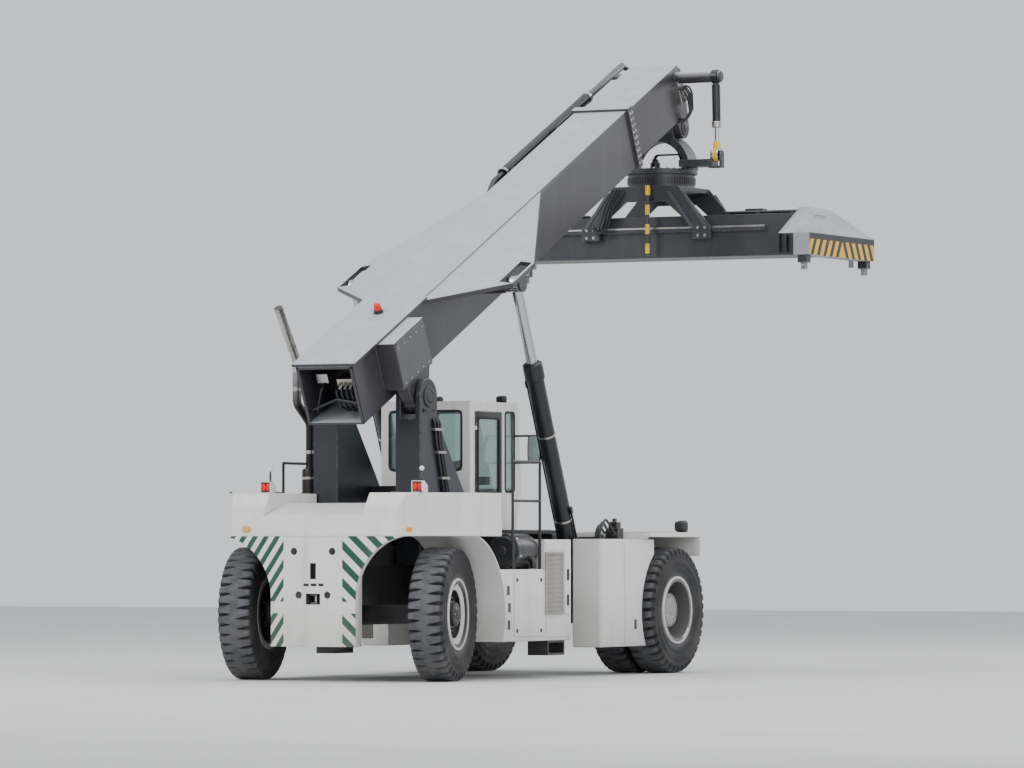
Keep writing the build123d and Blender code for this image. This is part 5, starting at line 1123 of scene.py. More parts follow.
@dataclass
class Body:
    """Side boxes, tanks, fenders, steps, rails and the chassis."""

    box_face: float = 1.90
    tank_face: float = 1.95

    def build(self) -> None:
        """Dress the bodywork."""
        for name, _ in SIDES:
            softened("service_box_" + name, WHITE, "chassis", 0.012)
            softened("tank_" + name, WHITE, "chassis", 0.02)
        for node, finish, bevel in (("front_fenders", WHITE, 0.01), ("deck", CHASSIS, 0.006), ("chassis_frame", CHASSIS, 0.008),
                                    ("towers", TOWER_PAINT, 0.014), ("mudguards", WHITE, 0.004), ("access_steps", RAIL, 0.004),
                                    ("handrails", RAIL, 0.0), ("engine_block", CAST, 0.03), ("louvre_panels", LOUVRE, 0.0)):
            softened(node, finish, "chassis", bevel)
        for name, side in SIDES:
            self.doors(name, side)
            self.fittings(name, side)
            self.tower_trim(name, side)
            self.grip(name, side)
            self.deck_pipes(name, side)
        self.walkway()
        self.engine_trim()

    def doors(self, name: str, side: int) -> None:
        """Door panels on the side box and the tank, thin and proud of the wall."""
        face, tank = self.box_face, self.tank_face
        panels = Stock()
        for x0, x1, z0, z1 in ((1.36, 2.26, 0.60, 1.47), (2.35, 3.11, 0.58, 0.87), (2.93, 3.11, 0.90, 1.90), (2.35, 2.90, 1.81, 1.92)):
            panels.box((REAR_AXLE_X + x0, side * face, z0), (REAR_AXLE_X + x1, side * (face + 0.010), z1))
        arch = [(5.28, 0.46), (5.28, 0.66), (5.24, 0.92), (5.28, 1.20), (5.38, 1.50), (5.52, 1.72), (5.66, 1.86), (5.66, 1.92),
                (4.79, 1.92), (4.79, 0.46)]
        panels.plate([(REAR_AXLE_X + u, w) for u, w in arch], Axis.Y, side * tank, side * (tank + 0.008))
        panels.box((REAR_AXLE_X + 4.03, side * tank, 0.46), (REAR_AXLE_X + 4.77, side * (tank + 0.008), 1.92))
        panels.piece("side_doors_" + name, WHITE, "chassis", bevel=0.004)

    def fittings(self, name: str, side: int) -> None:
        """Latches, hinges, step recesses, filler cap and bracket slots."""
        face, tank = self.box_face, self.tank_face
        dark = Stock()
        for x in (1.44, 2.18):
            for z in (0.68, 1.39):
                dark.bar((REAR_AXLE_X + x, side * (face + 0.008), z), (REAR_AXLE_X + x, side * (face + 0.018), z), 0.028, 20)
        for z in (0.70, 0.94, 1.18):
            u = math.sqrt(1.12 ** 2 - (z + 0.03 - AXLE_Z) ** 2) + 0.05
            dark.box((REAR_AXLE_X + u, side * face, z), (REAR_AXLE_X + u + 0.09, side * (face + 0.004), z + 0.13))
        for z in (1.02, 1.38):
            dark.bar((REAR_AXLE_X + 3.02, side * (face + 0.012), z), (REAR_AXLE_X + 3.02, side * (face + 0.012), z + 0.16), 0.022, 14)
        dark.box((REAR_AXLE_X + 5.10, side * (tank + 0.006), 0.66), (REAR_AXLE_X + 5.15, side * (tank + 0.022), 0.80))
        dark.turned([(0.0005, 0.0), (0.0005, 0.07), (0.05, 0.07), (0.06, 0.06), (0.06, 0.0)],
                    (REAR_AXLE_X + 4.4, side * 1.75, 1.97), Axis.Z, 32)
        dark.piece("door_fittings_" + name, RAIL, "chassis", bevel=0.002)
        frames = Stock()
        for z in (0.70, 0.94, 1.18):
            u = math.sqrt(1.12 ** 2 - (z + 0.03 - AXLE_Z) ** 2) + 0.05
            for x0, x1, z0, z1 in ((u - 0.01, u, z - 0.01, z + 0.14), (u + 0.09, u + 0.10, z - 0.01, z + 0.14),
                                   (u, u + 0.09, z - 0.01, z), (u, u + 0.09, z + 0.13, z + 0.14)):
                frames.box((REAR_AXLE_X + x0, side * face, z0), (REAR_AXLE_X + x1, side * (face + 0.008), z1))
        frames.piece("step_recess_frames_" + name, WHITE, "chassis", bevel=0.002)

    def tower_trim(self, name: str, side: int) -> None:
        """Pivot pin cap with its keeper, bolts and the pipes that climb a tower."""
        pivot = Matrix.Translation((PIVOT.x, side * 0.87, PIVOT.z)) @ half_turn(side)
        cap = Stock()
        cap.turned([(0.0005, 0.0), (0.0005, 0.012), (0.07, 0.012), (0.082, 0.0)], (0, 0, 0), Axis.Y, 32, pivot)
        cap.turned([(0.092, -0.02), (0.092, 0.004), (0.145, 0.0), (0.150, -0.02)], (0, 0, 0), Axis.Y, 40, pivot)
        cap.box((-0.16, -0.018, -0.215), (0.16, -0.004, -0.165), pivot)
        for x in (-0.12, 0.12):
            cap.bolt(pivot @ Vector((x, -0.006, -0.19)), Vector((0, side, 0)), 0.014, 0.016)
        cap.piece("pivot_cap_" + name, AXLE, "chassis", bevel=0.002)
        lines = []
        for i in range(3):
            y = side * (0.878 + 0.008 * (i % 2))
            x = REAR_AXLE_X + 0.98 + 0.075 * i
            lines.append([(x + 0.22, y, 2.605), (x + 0.10, y, 3.0), (x, y, 3.30), (x - 0.06, y, 3.62), (x - 0.07, side * 0.80, 3.70)])
        pipes("tower_pipes_" + name, lines, 0.019, BLACK, "chassis", 0.12)
        clips = Stock()
        for t in (2.80, 3.16, 3.48):
            shift = 0.22 - (t - 2.605) * 0.31
            clips.box((REAR_AXLE_X + 0.94 + shift, side * 0.85, t), (REAR_AXLE_X + 1.17 + shift, side * 0.912, t + 0.035))
        clips.piece("tower_clips_" + name, STEEL, "chassis", bevel=0.003)

    def grip(self, name: str, side: int) -> None:
        """Raised grip studs on the fenders and on the low box beside the handrail."""
        stud = Stock().turned([(0.0005, 0.0), (0.0005, 0.006), (0.010, 0.005), (0.014, 0.0)], (0, 0, 0), Axis.Z, 8)
        place = Matrix.Translation((REAR_AXLE_X + 5.5, side * 0.95, 2.07))
        gridded("fender_studs_" + name, stud, (26, 17), ((0.06, 0, 0), (0, side * 0.062, 0)), RAIL, "chassis", place)

    def walkway(self) -> None:
        """Tread bars on the deck beside the cab, and pipes on the deck's edge."""
        for name, side in SIDES:
            bar = Stock().box((-0.012, 0.0, 0.0), (0.012, 0.085, 0.006), Matrix.Rotation(0.7, 4, "Z"))
            place = Matrix.Translation((REAR_AXLE_X + 2.05, side * 0.76 - (0.0 if side > 0 else 0.05), 2.1))
            gridded("walkway_bars_" + name, bar, (36, 1), ((0.075, 0, 0), (0, 0, 0)), STEEL, "chassis", place)
        lines = [[(REAR_AXLE_X + 1.97, -0.86 - 0.05 * i, 1.62 + 0.04 * i), (REAR_AXLE_X + 3.6, -0.86 - 0.05 * i, 1.62 + 0.04 * i),
                  (REAR_AXLE_X + 4.1, -0.86 - 0.05 * i, 1.72), (REAR_AXLE_X + 5.65, -0.86 - 0.05 * i, 1.72)] for i in range(4)]
        pipes("chassis_pipes", lines, 0.018, BLACK, "chassis", 0.1)

    def deck_pipes(self, name: str, side: int) -> None:
        """Valves and bent pipes on the tank's top, by the lift cylinder's foot."""
        x, y, z = REAR_AXLE_X + 5.05, side * 1.66, 1.97
        valves = Stock()
        valves.box((x - 0.10, y - 0.10, z), (x + 0.10, y + 0.10, z + 0.16))
        valves.box((x - 0.07, y - 0.07, z + 0.15), (x + 0.07, y + 0.07, z + 0.25))
        valves.bar((x - 0.10, y - 0.05, z + 0.08), (x - 0.17, y - 0.05, z + 0.08), 0.03, 16)
        valves.bar((x, y, z + 0.24), (x, y, z + 0.30), 0.035, 18)
        valves.piece("deck_valves_" + name, RAIL, "chassis", bevel=0.008)
        lines = [[(x - 0.15, y + side * (0.05 * i - 0.03), z + 0.08), (x - 0.30, y + side * (0.05 * i - 0.03), z + 0.10 + 0.05 * i),
                  (x - 0.46, y + side * (0.05 * i - 0.02), z + 0.22 + 0.04 * i), (x - 0.60 - 0.04 * i, y + side * 0.05 * i, z + 0.12),
                  (x - 0.62 - 0.04 * i, y + side * 0.05 * i, z - 0.02)] for i in range(3)]
        pipes("deck_pipes_" + name, lines, 0.018, BLACK, "chassis", 0.09)

    def engine_trim(self) -> None:
        """Covers and belt wheel of the engine between the rear rails."""
        low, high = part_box("engine_block")
        stock = Stock()
        for i in range(4):
            x = low.x + 0.28 + 0.3 * i
            stock.box((x, -0.16, high.z - 0.01), (x + 0.24, 0.16, high.z + 0.05))
        stock.turned([(0.0005, 0.0), (0.0005, 0.035), (0.10, 0.035), (0.16, 0.03), (0.17, 0.015), (0.16, 0.0)],
                     (low.x, 0.0, low.z + 0.42), Axis.X, 32, None)
        stock.piece("engine_covers", CAST, "chassis", bevel=0.008)


@dataclass
class Boom:
    """Both boom sections, their trim and the lift cylinders."""

    half: float = 0.44
    low: float = 0.12
    top: float = 1.02

    def build(self) -> None:
        """Dress the boom and its cylinders."""
        softened("outer_boom", BOOM_PAINT, "outer_boom", 0.006, True)
        softened("inner_boom", BOOM_PAINT, "inner_boom", 0.01)
        softened("hose_guide", BLACK, "outer_boom", 0.003)
        softened("hose_tube", TUBE, "inner_boom", 0.003)
        for name, side in SIDES:
            softened("lift_barrel_" + name, BLACK, "lift_barrel_" + name, 0.006)
            softened("lift_rod_" + name, CHROME, "lift_rod_" + name, 0.004)
            self.cylinder_trim(name, side)
            self.fairing(name, side)
        self.rear_end()
        self.pipes_on_boom()
        self.collar()
        self.beacon()

    def fairing(self, name: str, side: int) -> None:
        """Light plate over a pivot ear, as high as the box behind it."""
        high = 0.98 if side < 0 else 0.70
        plate = Stock()
        outline = [(-0.43, 0.33), (0.48, 0.33), (0.48, high - 0.05), (0.43, high), (-0.38, high), (-0.43, high - 0.05)]
        plate.plate(outline, Axis.Y, side * 0.739, side * 0.748, BOOM)
        plate.piece("pivot_fairing_" + name, FAIRING, "outer_boom", bevel=0.004)

    def cylinder_trim(self, name: str, side: int) -> None:
        """Gland nut, light clamp bands and the oil pipe of a lift cylinder's barrel."""
        foot = Vector((REAR_AXLE_X + 4.54, side * 1.3, 1.3))
        head = BOOM @ Vector((2.33, side * 1.3, 0.72))
        along = Matrix.Translation(foot) @ (head - foot).to_track_quat("Z", "X").to_matrix().to_4x4()
        stock = Stock()
        stock.turned([(0.0795, 3.470), (0.0795, 3.500), (0.110, 3.500), (0.142, 3.480), (0.146, 3.40), (0.146, 3.25), (0.1255, 3.23),
                      (0.1255, 3.40)], (0, 0, 0), Axis.Z, 40, along)
        for angle in (90, -90):
            pipe = Matrix.Rotation(math.radians(angle), 4, "Z")
            stock.bar((0.150, 0, 0.42), (0.150, 0, 3.18 if angle > 0 else 1.2), 0.015, 12, along @ pipe)
            stock.box((0.120, -0.03, 0.36), (0.168, 0.03, 0.44), along @ pipe)
            stock.box((0.120, -0.03, 3.12 if angle > 0 else 1.14), (0.168, 0.03, 3.22 if angle > 0 else 1.24), along @ pipe)
        stock.piece("barrel_trim_" + name, BLACK, "lift_barrel_" + name, bevel=0.003)
        bands = Stock()
        for z in (1.02, 2.35):
            bands.turned([(0.1255, 0.0), (0.1255, 0.030), (0.131, 0.028), (0.131, 0.002)], (0, 0, z), Axis.Z, 40, along)
        bands.piece("barrel_bands_" + name, STEEL, "lift_barrel_" + name)

    def rear_end(self) -> None:
        """Frame, cross pipes and valve block in the boom's open rear end."""
        rim = Stock()
        a = -1.2
        for y0, y1, p0, p1 in ((-0.44, 0.44, 0.955, 0.995), (-0.44, 0.44, 0.12, 0.155), (-0.44, -0.400, 0.12, 0.995),
                               (0.400, 0.44, 0.12, 0.995)):
            rim.box((a - 0.002, y0, p0), (a + 0.03, y1, p1), BOOM)
        rim.piece("boom_rear_frame", BOOM_PAINT, "outer_boom", bevel=0.004)
        dark = Stock()
        dark.box((-0.42, -0.415, 0.145), (-0.40, 0.415, 0.995), BOOM)
        dark.piece("boom_bulkhead", CHASSIS, "outer_boom", bevel=0.004)
        block = Stock()
        block.box((-0.9, -0.30, 0.52), (-0.66, 0.02, 0.68), BOOM)
        block.box((-0.95, 0.12, 0.64), (-0.62, 0.30, 0.78), BOOM)
        for i in range(4):
            block.bar((-0.90, -0.26 + 0.08 * i, 0.60), (-0.96, -0.26 + 0.08 * i, 0.60), 0.020, 12, BOOM)
        block.piece("valve_block", STEEL, "outer_boom", bevel=0.006)
        lines = [[(-0.94, -0.26 + 0.08 * i, 0.60), (-1.04, -0.26 + 0.08 * i, 0.56), (-1.08, -0.30 + 0.08 * i, 0.34),
                  (-0.90, -0.34 + 0.08 * i, 0.20), (-0.43, -0.34 + 0.08 * i, 0.20)] for i in range(4)]
        lines += [[(-1.12, -0.41, 0.40), (-1.12, -0.05, 0.47), (-1.12, 0.41, 0.30)],
                  [(-0.90, 0.18, 0.66), (-1.06, 0.20, 0.58), (-1.10, 0.32, 0.26), (-0.9, 0.34, 0.20), (-0.43, 0.34, 0.20)]]
        pipes("boom_rear_pipes", lines, 0.018, BLACK, "outer_boom", 0.08, BOOM)

    def pipes_on_boom(self) -> None:
        """Pipe run with clamps on the left side, and the bend at the guide's lower end."""
        lines = [[(0.7, 0.475 + 0.045 * i, 0.56), (8.2, 0.475 + 0.045 * i, 0.56)] for i in range(2)]
        pipes("boom_side_pipes", lines, 0.016, BLACK, "outer_boom", 0.05, BOOM)
        clamp = Stock().box((-0.02, 0.0, -0.03), (0.02, 0.11, 0.03))
        gridded("boom_pipe_clamps", clamp, (8, 1), ((1.0, 0, 0), (0, 0, 0)), STEEL, "outer_boom",
                BOOM @ Matrix.Translation((0.8, 0.435, 0.56)))
        bend = [[(6.40, 0.75, 0.85), (6.05, 0.75, 0.85), (5.72, 0.72, 0.74), (5.62, 0.60, 0.62), (5.62, 0.43, 0.60)]]
        pipes("guide_bend", bend, 0.052, BLACK, "outer_boom", 0.22, BOOM)
        flange = Stock().turned([(0.052, 0.0), (0.052, 0.03), (0.085, 0.028), (0.088, 0.0)], (5.62, 0.44, 0.60), Axis.Y, 24, BOOM)
        flange.turned([(0.086, 0.0), (0.086, 0.07), (0.094, 0.066), (0.094, 0.004)], (9.45, 0.75, 0.85), Axis.X, 32, BOOM)
        flange.turned([(0.086, 0.0), (0.086, 0.05), (0.094, 0.046), (0.094, 0.004)], (6.35, 0.75, 0.85), Axis.X, 32, BOOM)
        flange.piece("guide_rings", STEEL, "outer_boom")
        elbow = [[(10.70, 0.75, 0.85), (10.84, 0.75, 0.85), (10.90, 0.66, 0.76), (10.84, 0.50, 0.66), (10.50, 0.47, 0.60),
                  (10.40, 0.39, 0.58)]]
        pipes("tube_elbow", elbow, 0.036, BLACK, "inner_boom", 0.10, BOOM)

    def collar(self) -> None:
        """Bolts round the collar and along the side cover."""
        for name, side in SIDES:
            bolt = Stock().bolt((0, 0, 0), Vector((0, 1, 0)), 0.018, 0.016)
            place = BOOM @ Matrix.Translation((8.42, side * 0.48, 0.16)) @ half_turn(side)
            gridded("collar_bolts_" + name, bolt, (9, 2), ((0, 0, 0.10), (0.07 * side, 0, 0)), STEEL, "outer_boom", place)
            screw = Stock().bolt((0, 0, 0), Vector((0, 1, 0)), 0.011, 0.010)
            place = BOOM @ Matrix.Translation((-0.36, side * 0.748, 0.37)) @ half_turn(side)
            gridded("fairing_screws_" + name, screw, (5, 2), ((0.19 * side, 0, 0), (0, 0, 0.27 if side > 0 else 0.53)), STEEL,
                    "outer_boom", place)

    def beacon(self) -> None:
        """Red flashing beacon with a dark foot on the boom's top plate."""
        foot = Stock().turned([(0.0005, 0.0), (0.0005, 0.05), (0.058, 0.05), (0.066, 0.042), (0.070, 0.0)], (0.6, 0.0, 1.04),
                              Axis.Z, 28, BOOM)
        foot.piece("beacon_foot", MIRROR_CASE, "outer_boom", ("beacon",))
        dome = Stock().turned([(0.0005, 0.048), (0.0005, 0.150), (0.020, 0.148), (0.040, 0.136), (0.052, 0.112), (0.055, 0.08),
                               (0.055, 0.048)], (0.6, 0.0, 1.04), Axis.Z, 28, BOOM)
        dome.piece("beacon_dome", RED_LENS, "outer_boom", ("beacon",))


@dataclass
class Head:
    """Hanger, damping cylinder, slewing frame and spreader."""

    leg_x: float = 0.58
    rail_z: float = BEAM_TOP - 0.25

    def build(self) -> None:
        """Dress everything that hangs from the boom's head."""
        softened("hanger", SPREADER, "hanger", 0.01)
        softened("rotator_frame", SPREADER, "rotator", 0.008)
        softened("spreader_beam", SPREADER, "spreader", 0.008)
        softened("marker_post", POST, "rotator", 0.003)
        softened("damper_barrel", BLACK, "damper_barrel", 0.004)
        softened("damper_rod", CHROME, "damper_rod", 0.003)
        softened("beam_pipes", RAIL, "spreader", 0.002)
        for name, side in SIDES:
            softened("spreader_arm_" + name, COVER, "arm_" + name, 0.0, True)
            self.twistlocks(name, side)
            self.service_plate(name, side)
        self.slewing()
        self.frame_trim()
        self.beam_trim()
        self.nose()
        self.damper_trim()

    def twistlocks(self, name: str, side: int) -> None:
        """Cone heads of the twistlocks, their guides and dark lock boxes."""
        stock = Stock()
        dark = Stock()
        for x in (-1.1295, 1.1295):
            at = (SPREADER_X + x, side * 2.9265, END_BEAM_Z[0] - 0.12)
            rows = []
            for z, a, b in ((-0.0995, 0.014, 0.010), (-0.085, 0.036, 0.024), (-0.060, 0.052, 0.031), (-0.036, 0.052, 0.031),
                            (-0.030, 0.046, 0.029)):
                rows.append([(at[0] + sx * a, at[1] + sy * b, at[2] + z) for sx, sy in ((1, 1), (-1, 1), (-1, -1), (1, -1))])
            stock.loft(rows)
            stock.turned([(0.0005, 0.0), (0.0005, 0.012), (0.062, 0.010), (0.066, 0.0)], (at[0], at[1], at[2] - 0.012), Axis.Z, 28)
            low = (at[0] - 0.0765, at[1] - 0.0765, at[2] + 0.004)
            dark.box(low, (at[0] + 0.0765, at[1] + 0.0765, at[2] + 0.119))
        stock.piece("twistlock_heads_" + name, STEEL, "arm_" + name, bevel=0.003)
        dark.piece("lock_boxes_" + name, CHASSIS, "arm_" + name, bevel=0.006)

    def service_plate(self, name: str, side: int) -> None:
        """Bolted plate on the cover's slope, over the end of the telescopic arm."""
        stock, rows = Stock(), []
        for y in (2.735, 2.812)[::-side]:
            z = BEAM_TOP + 0.09 - 1.0732 * (y - 2.65)
            rows.append([(SPREADER_X + side * u, side * (y + lift * 0.73), z + lift * 0.68)
                         for u, lift in ((0.01, -0.002), (0.455, -0.002), (0.455, 0.005), (0.01, 0.005))])
        stock.loft(rows)
        for u in (0.05, 0.233, 0.415):
            stock.bolt((SPREADER_X + side * u, side * 2.805, BEAM_TOP + 0.09 - 1.0732 * 0.155 + 0.004), Vector((0, side * 0.73, 0.68)),
                       0.009, 0.008)
        stock.piece("cover_plate_" + name, COVER, "arm_" + name)

    def slewing(self) -> None:
        """Bolt circle on the slewing ring, its drive motors and their pipes, and the ring's teeth."""
        ring = Matrix.Translation((SPREADER_X, 0, YOKE_Z)) @ Matrix.Rotation(math.radians(90), 4, "X")
        bolt = Stock().bolt((0, 0, 0), Vector((0, 1, 0)), 0.016, 0.018)
        ringed("slew_bolts", bolt, 30, 0.515, STEEL, "hanger", ring)
        motors = Stock()
        for y in (-0.27, 0.27):
            at = (SPREADER_X + 0.34, y, YOKE_Z)
            motors.turned([(0.0005, 0.0), (0.0005, 0.20), (0.05, 0.20), (0.055, 0.15), (0.078, 0.145), (0.08, 0.05), (0.105, 0.045),
                           (0.11, 0.0)], at, Axis.Z, 28)
            motors.box((at[0] - 0.05, y - 0.035, YOKE_Z + 0.09), (at[0] + 0.115, y + 0.035, YOKE_Z + 0.14))
        motors.piece("slew_motors", TOWER_PAINT, "hanger", bevel=0.003)
        lines = [[(SPREADER_X + 0.30 + 0.05 * i, -0.27, YOKE_Z + 0.17), (SPREADER_X + 0.30 + 0.05 * i, -0.27, YOKE_Z + 0.26),
                  (SPREADER_X + 0.30 + 0.05 * i, 0.27, YOKE_Z + 0.26), (SPREADER_X + 0.30 + 0.05 * i, 0.27, YOKE_Z + 0.17)]
                 for i in range(2)]
        pipes("slew_pipes", lines, 0.014, BLACK, "hanger", 0.07)
        teeth = Stock().box((-0.006, -0.05, -0.016), (0.010, 0.05, 0.016))
        ringed("slew_teeth", teeth, 72, 0.522, AXLE, "rotator",
               Matrix.Translation((SPREADER_X, 0, RING_TOP - 0.10)) @ Matrix.Rotation(math.radians(90), 4, "X"))

    def frame_trim(self) -> None:
        """Foot bolts, edge strips and pipe loop of the side-shift frame."""
        for end in (-1, 1):
            for side in (-1, 1):
                tag = "%s_%s" % ("rear" if end < 0 else "front", "left" if side > 0 else "right")
                bolt = Stock().bolt((0, 0, 0), Vector((1, 0, 0)), 0.018, 0.016)
                place = Matrix.Translation((SPREADER_X + end * (self.leg_x + 0.0), side * 0.95, self.rail_z - 0.06))
                place = place @ Matrix.Rotation(0 if end > 0 else math.pi, 4, "Z")
                gridded("foot_bolts_" + tag, bolt, (2, 2), ((0, 0.12, 0), (0, 0, 0.12)), STEEL, "rotator",
                        place @ Matrix.Translation((0, -0.06, 0)))
        strips = Stock()
        for end in (-1, 1):
            x0, x1 = sorted((end * self.leg_x, end * (self.leg_x + 0.012)))
            for side in (-1, 1):
                outline = [(side * 0.60, RING_TOP - 0.29), (side * 0.66, RING_TOP - 0.29), (side * 1.07, self.rail_z + 0.06),
                           (side * 1.01, self.rail_z + 0.06)]
                strips.plate(outline, Axis.X, SPREADER_X + x0, SPREADER_X + x1)
                strips.plate([(side * (abs(y) - 0.235), z) for y, z in outline], Axis.X, SPREADER_X + x0, SPREADER_X + x1)
        strips.piece("leg_strips", FAIRING, "rotator", bevel=0.003)
        lines = [[(SPREADER_X - 0.645, 0.36 + 0.05 * i, RING_TOP - 0.24), (SPREADER_X - 0.645, 0.50 + 0.05 * i, RING_TOP - 0.50),
                  (SPREADER_X - 0.645, 0.62 + 0.05 * i, RING_TOP - 0.86), (SPREADER_X - 0.645, 0.80, RING_TOP - 0.93 - 0.04 * i),
                  (SPREADER_X - 0.60, 0.90, RING_TOP - 0.80)] for i in range(4)]
        pipes("shift_pipes", lines, 0.014, BLACK, "rotator", 0.10)

    def beam_trim(self) -> None:
        """Ribs, worn rail strips and junction boxes of the main beam."""
        rib = Stock().plate([(0.0, -0.34), (0.055, -0.30), (0.055, -0.02), (0.0, 0.02)], Axis.X, -0.006, 0.006)
        for name, side in (("rear", -1), ("front", 1)):
            place = Matrix.Translation((SPREADER_X + side * 0.46, -2.35, BEAM_TOP - 0.27)) @ Matrix.Rotation(
                -side * math.pi / 2, 4, "Z")
            gridded("beam_ribs_" + name, self.copy_of(rib), (2, 2),
                    ((-side * 4.58, 0, 0), (-side * 0.12, 0, 0)), SPREADER, "spreader", place)
        worn = Stock()
        for side in (-1, 1):
            x0, x1 = sorted((SPREADER_X + side * 0.47, SPREADER_X + side * 0.5205))
            worn.box((x0, -1.99, self.rail_z + 0.079), (x1, 1.99, self.rail_z + 0.0805))
            x0, x1 = sorted((SPREADER_X + side * 0.5195, SPREADER_X + side * 0.5208))
            worn.box((x0, -1.99, self.rail_z + 0.055), (x1, 1.99, self.rail_z + 0.078))
        worn.piece("worn_rails", STEEL, "spreader")
        box = Stock()
        box.box((SPREADER_X - 0.06, -1.75, BEAM_TOP), (SPREADER_X + 0.12, -1.45, BEAM_TOP + 0.11))
        box.box((SPREADER_X - 0.10, 1.40, BEAM_TOP), (SPREADER_X + 0.10, 1.80, BEAM_TOP + 0.08))
        box.piece("beam_boxes", CHASSIS, "spreader", bevel=0.008)

    @staticmethod
    def copy_of(stock: Stock) -> Stock:
        """A second stock with the same mesh."""
        twin = Stock()
        twin.bm = stock.bm.copy()
        return twin

    def nose(self) -> None:
        """Valve block, pipes and pin caps at the boom's head."""
        block = Stock()
        block.box((10.16, -0.50, 0.42), (10.44, -0.395, 0.66), BOOM)
        block.box((10.22, -0.47, 0.70), (10.40, -0.395, 0.78), BOOM)
        block.piece("nose_valves", STEEL, "inner_boom", bevel=0.006)
        lines = [[(10.20 + 0.06 * i, -0.46, 0.64), (10.20 + 0.06 * i, -0.52 - 0.03 * (i % 2), 0.70), (10.28 + 0.06 * i, -0.56, 0.52),
                  (10.30 + 0.04 * i, -0.54, 0.26), (10.22 + 0.04 * i, -0.46, 0.12), (10.12 + 0.04 * i, -0.41, 0.16)]
                 for i in range(4)]
        pipes("nose_pipes", lines, 0.015, BLACK, "inner_boom", 0.08, BOOM)
        pin = Stock()
        for _, side in SIDES:
            place = BOOM @ Matrix.Translation((10.3, side * 0.42, 0.0)) @ half_turn(side)
            pin.turned([(0.0005, 0.0), (0.0005, 0.010), (0.060, 0.010), (0.074, 0.0)], (0, 0, 0), Axis.Y, 32, place)
            pin.turned([(0.082, -0.02), (0.082, -0.004), (0.12, -0.006), (0.125, -0.02)], (0, 0, 0), Axis.Y, 32, place)
        pin.turned([(0.0005, 0.0), (0.0005, 0.012), (0.07, 0.010), (0.085, -0.004)], (10.35, -1.160, 0.8), Axis.Y, 32,
                   BOOM @ Matrix.Translation((10.35, -1.160, 0.8)) @ Matrix.Rotation(math.pi, 4, "Z") @ Matrix.Translation(
                       (-10.35, 1.160, -0.8)))
        pin.piece("head_pin_caps", AXLE, "inner_boom", bevel=0.002)

    def damper_trim(self) -> None:
        """Yellow lower eye and gland of the damping cylinder."""
        head = BOOM @ Vector((10.35, -1.07, 0.8))
        foot = Vector((SPREADER_X - 0.25, -1.07, YOKE_Z + 0.652 - 0.452))
        along = Matrix.Translation(head) @ (foot - head).to_track_quat("Z", "X").to_matrix().to_4x4()
        length = (foot - head).length
        eye = Stock()
        eye.turned([(0.060, -0.044), (0.060, 0.044), (0.100, 0.044), (0.1065, 0.036), (0.1065, -0.036), (0.100, -0.044)],
                   foot, Axis.Y, 32)
        eye.turned([(0.0345, -0.20), (0.0345, -0.09), (0.060, -0.095), (0.056, -0.17), (0.046, -0.20)], (0, 0, length), Axis.Z, 28,
                   along)
        eye.piece("damper_eye", YELLOW, "damper_rod", bevel=0.002)
        gland = Stock()
        gland.turned([(0.0355, 0.772), (0.0355, 0.790), (0.064, 0.788), (0.074, 0.776), (0.074, 0.70), (0.066, 0.69), (0.066, 0.772)],
                     (0, 0, 0), Axis.Z, 32, along)
        gland.piece("damper_gland", STEEL, "damper_barrel")


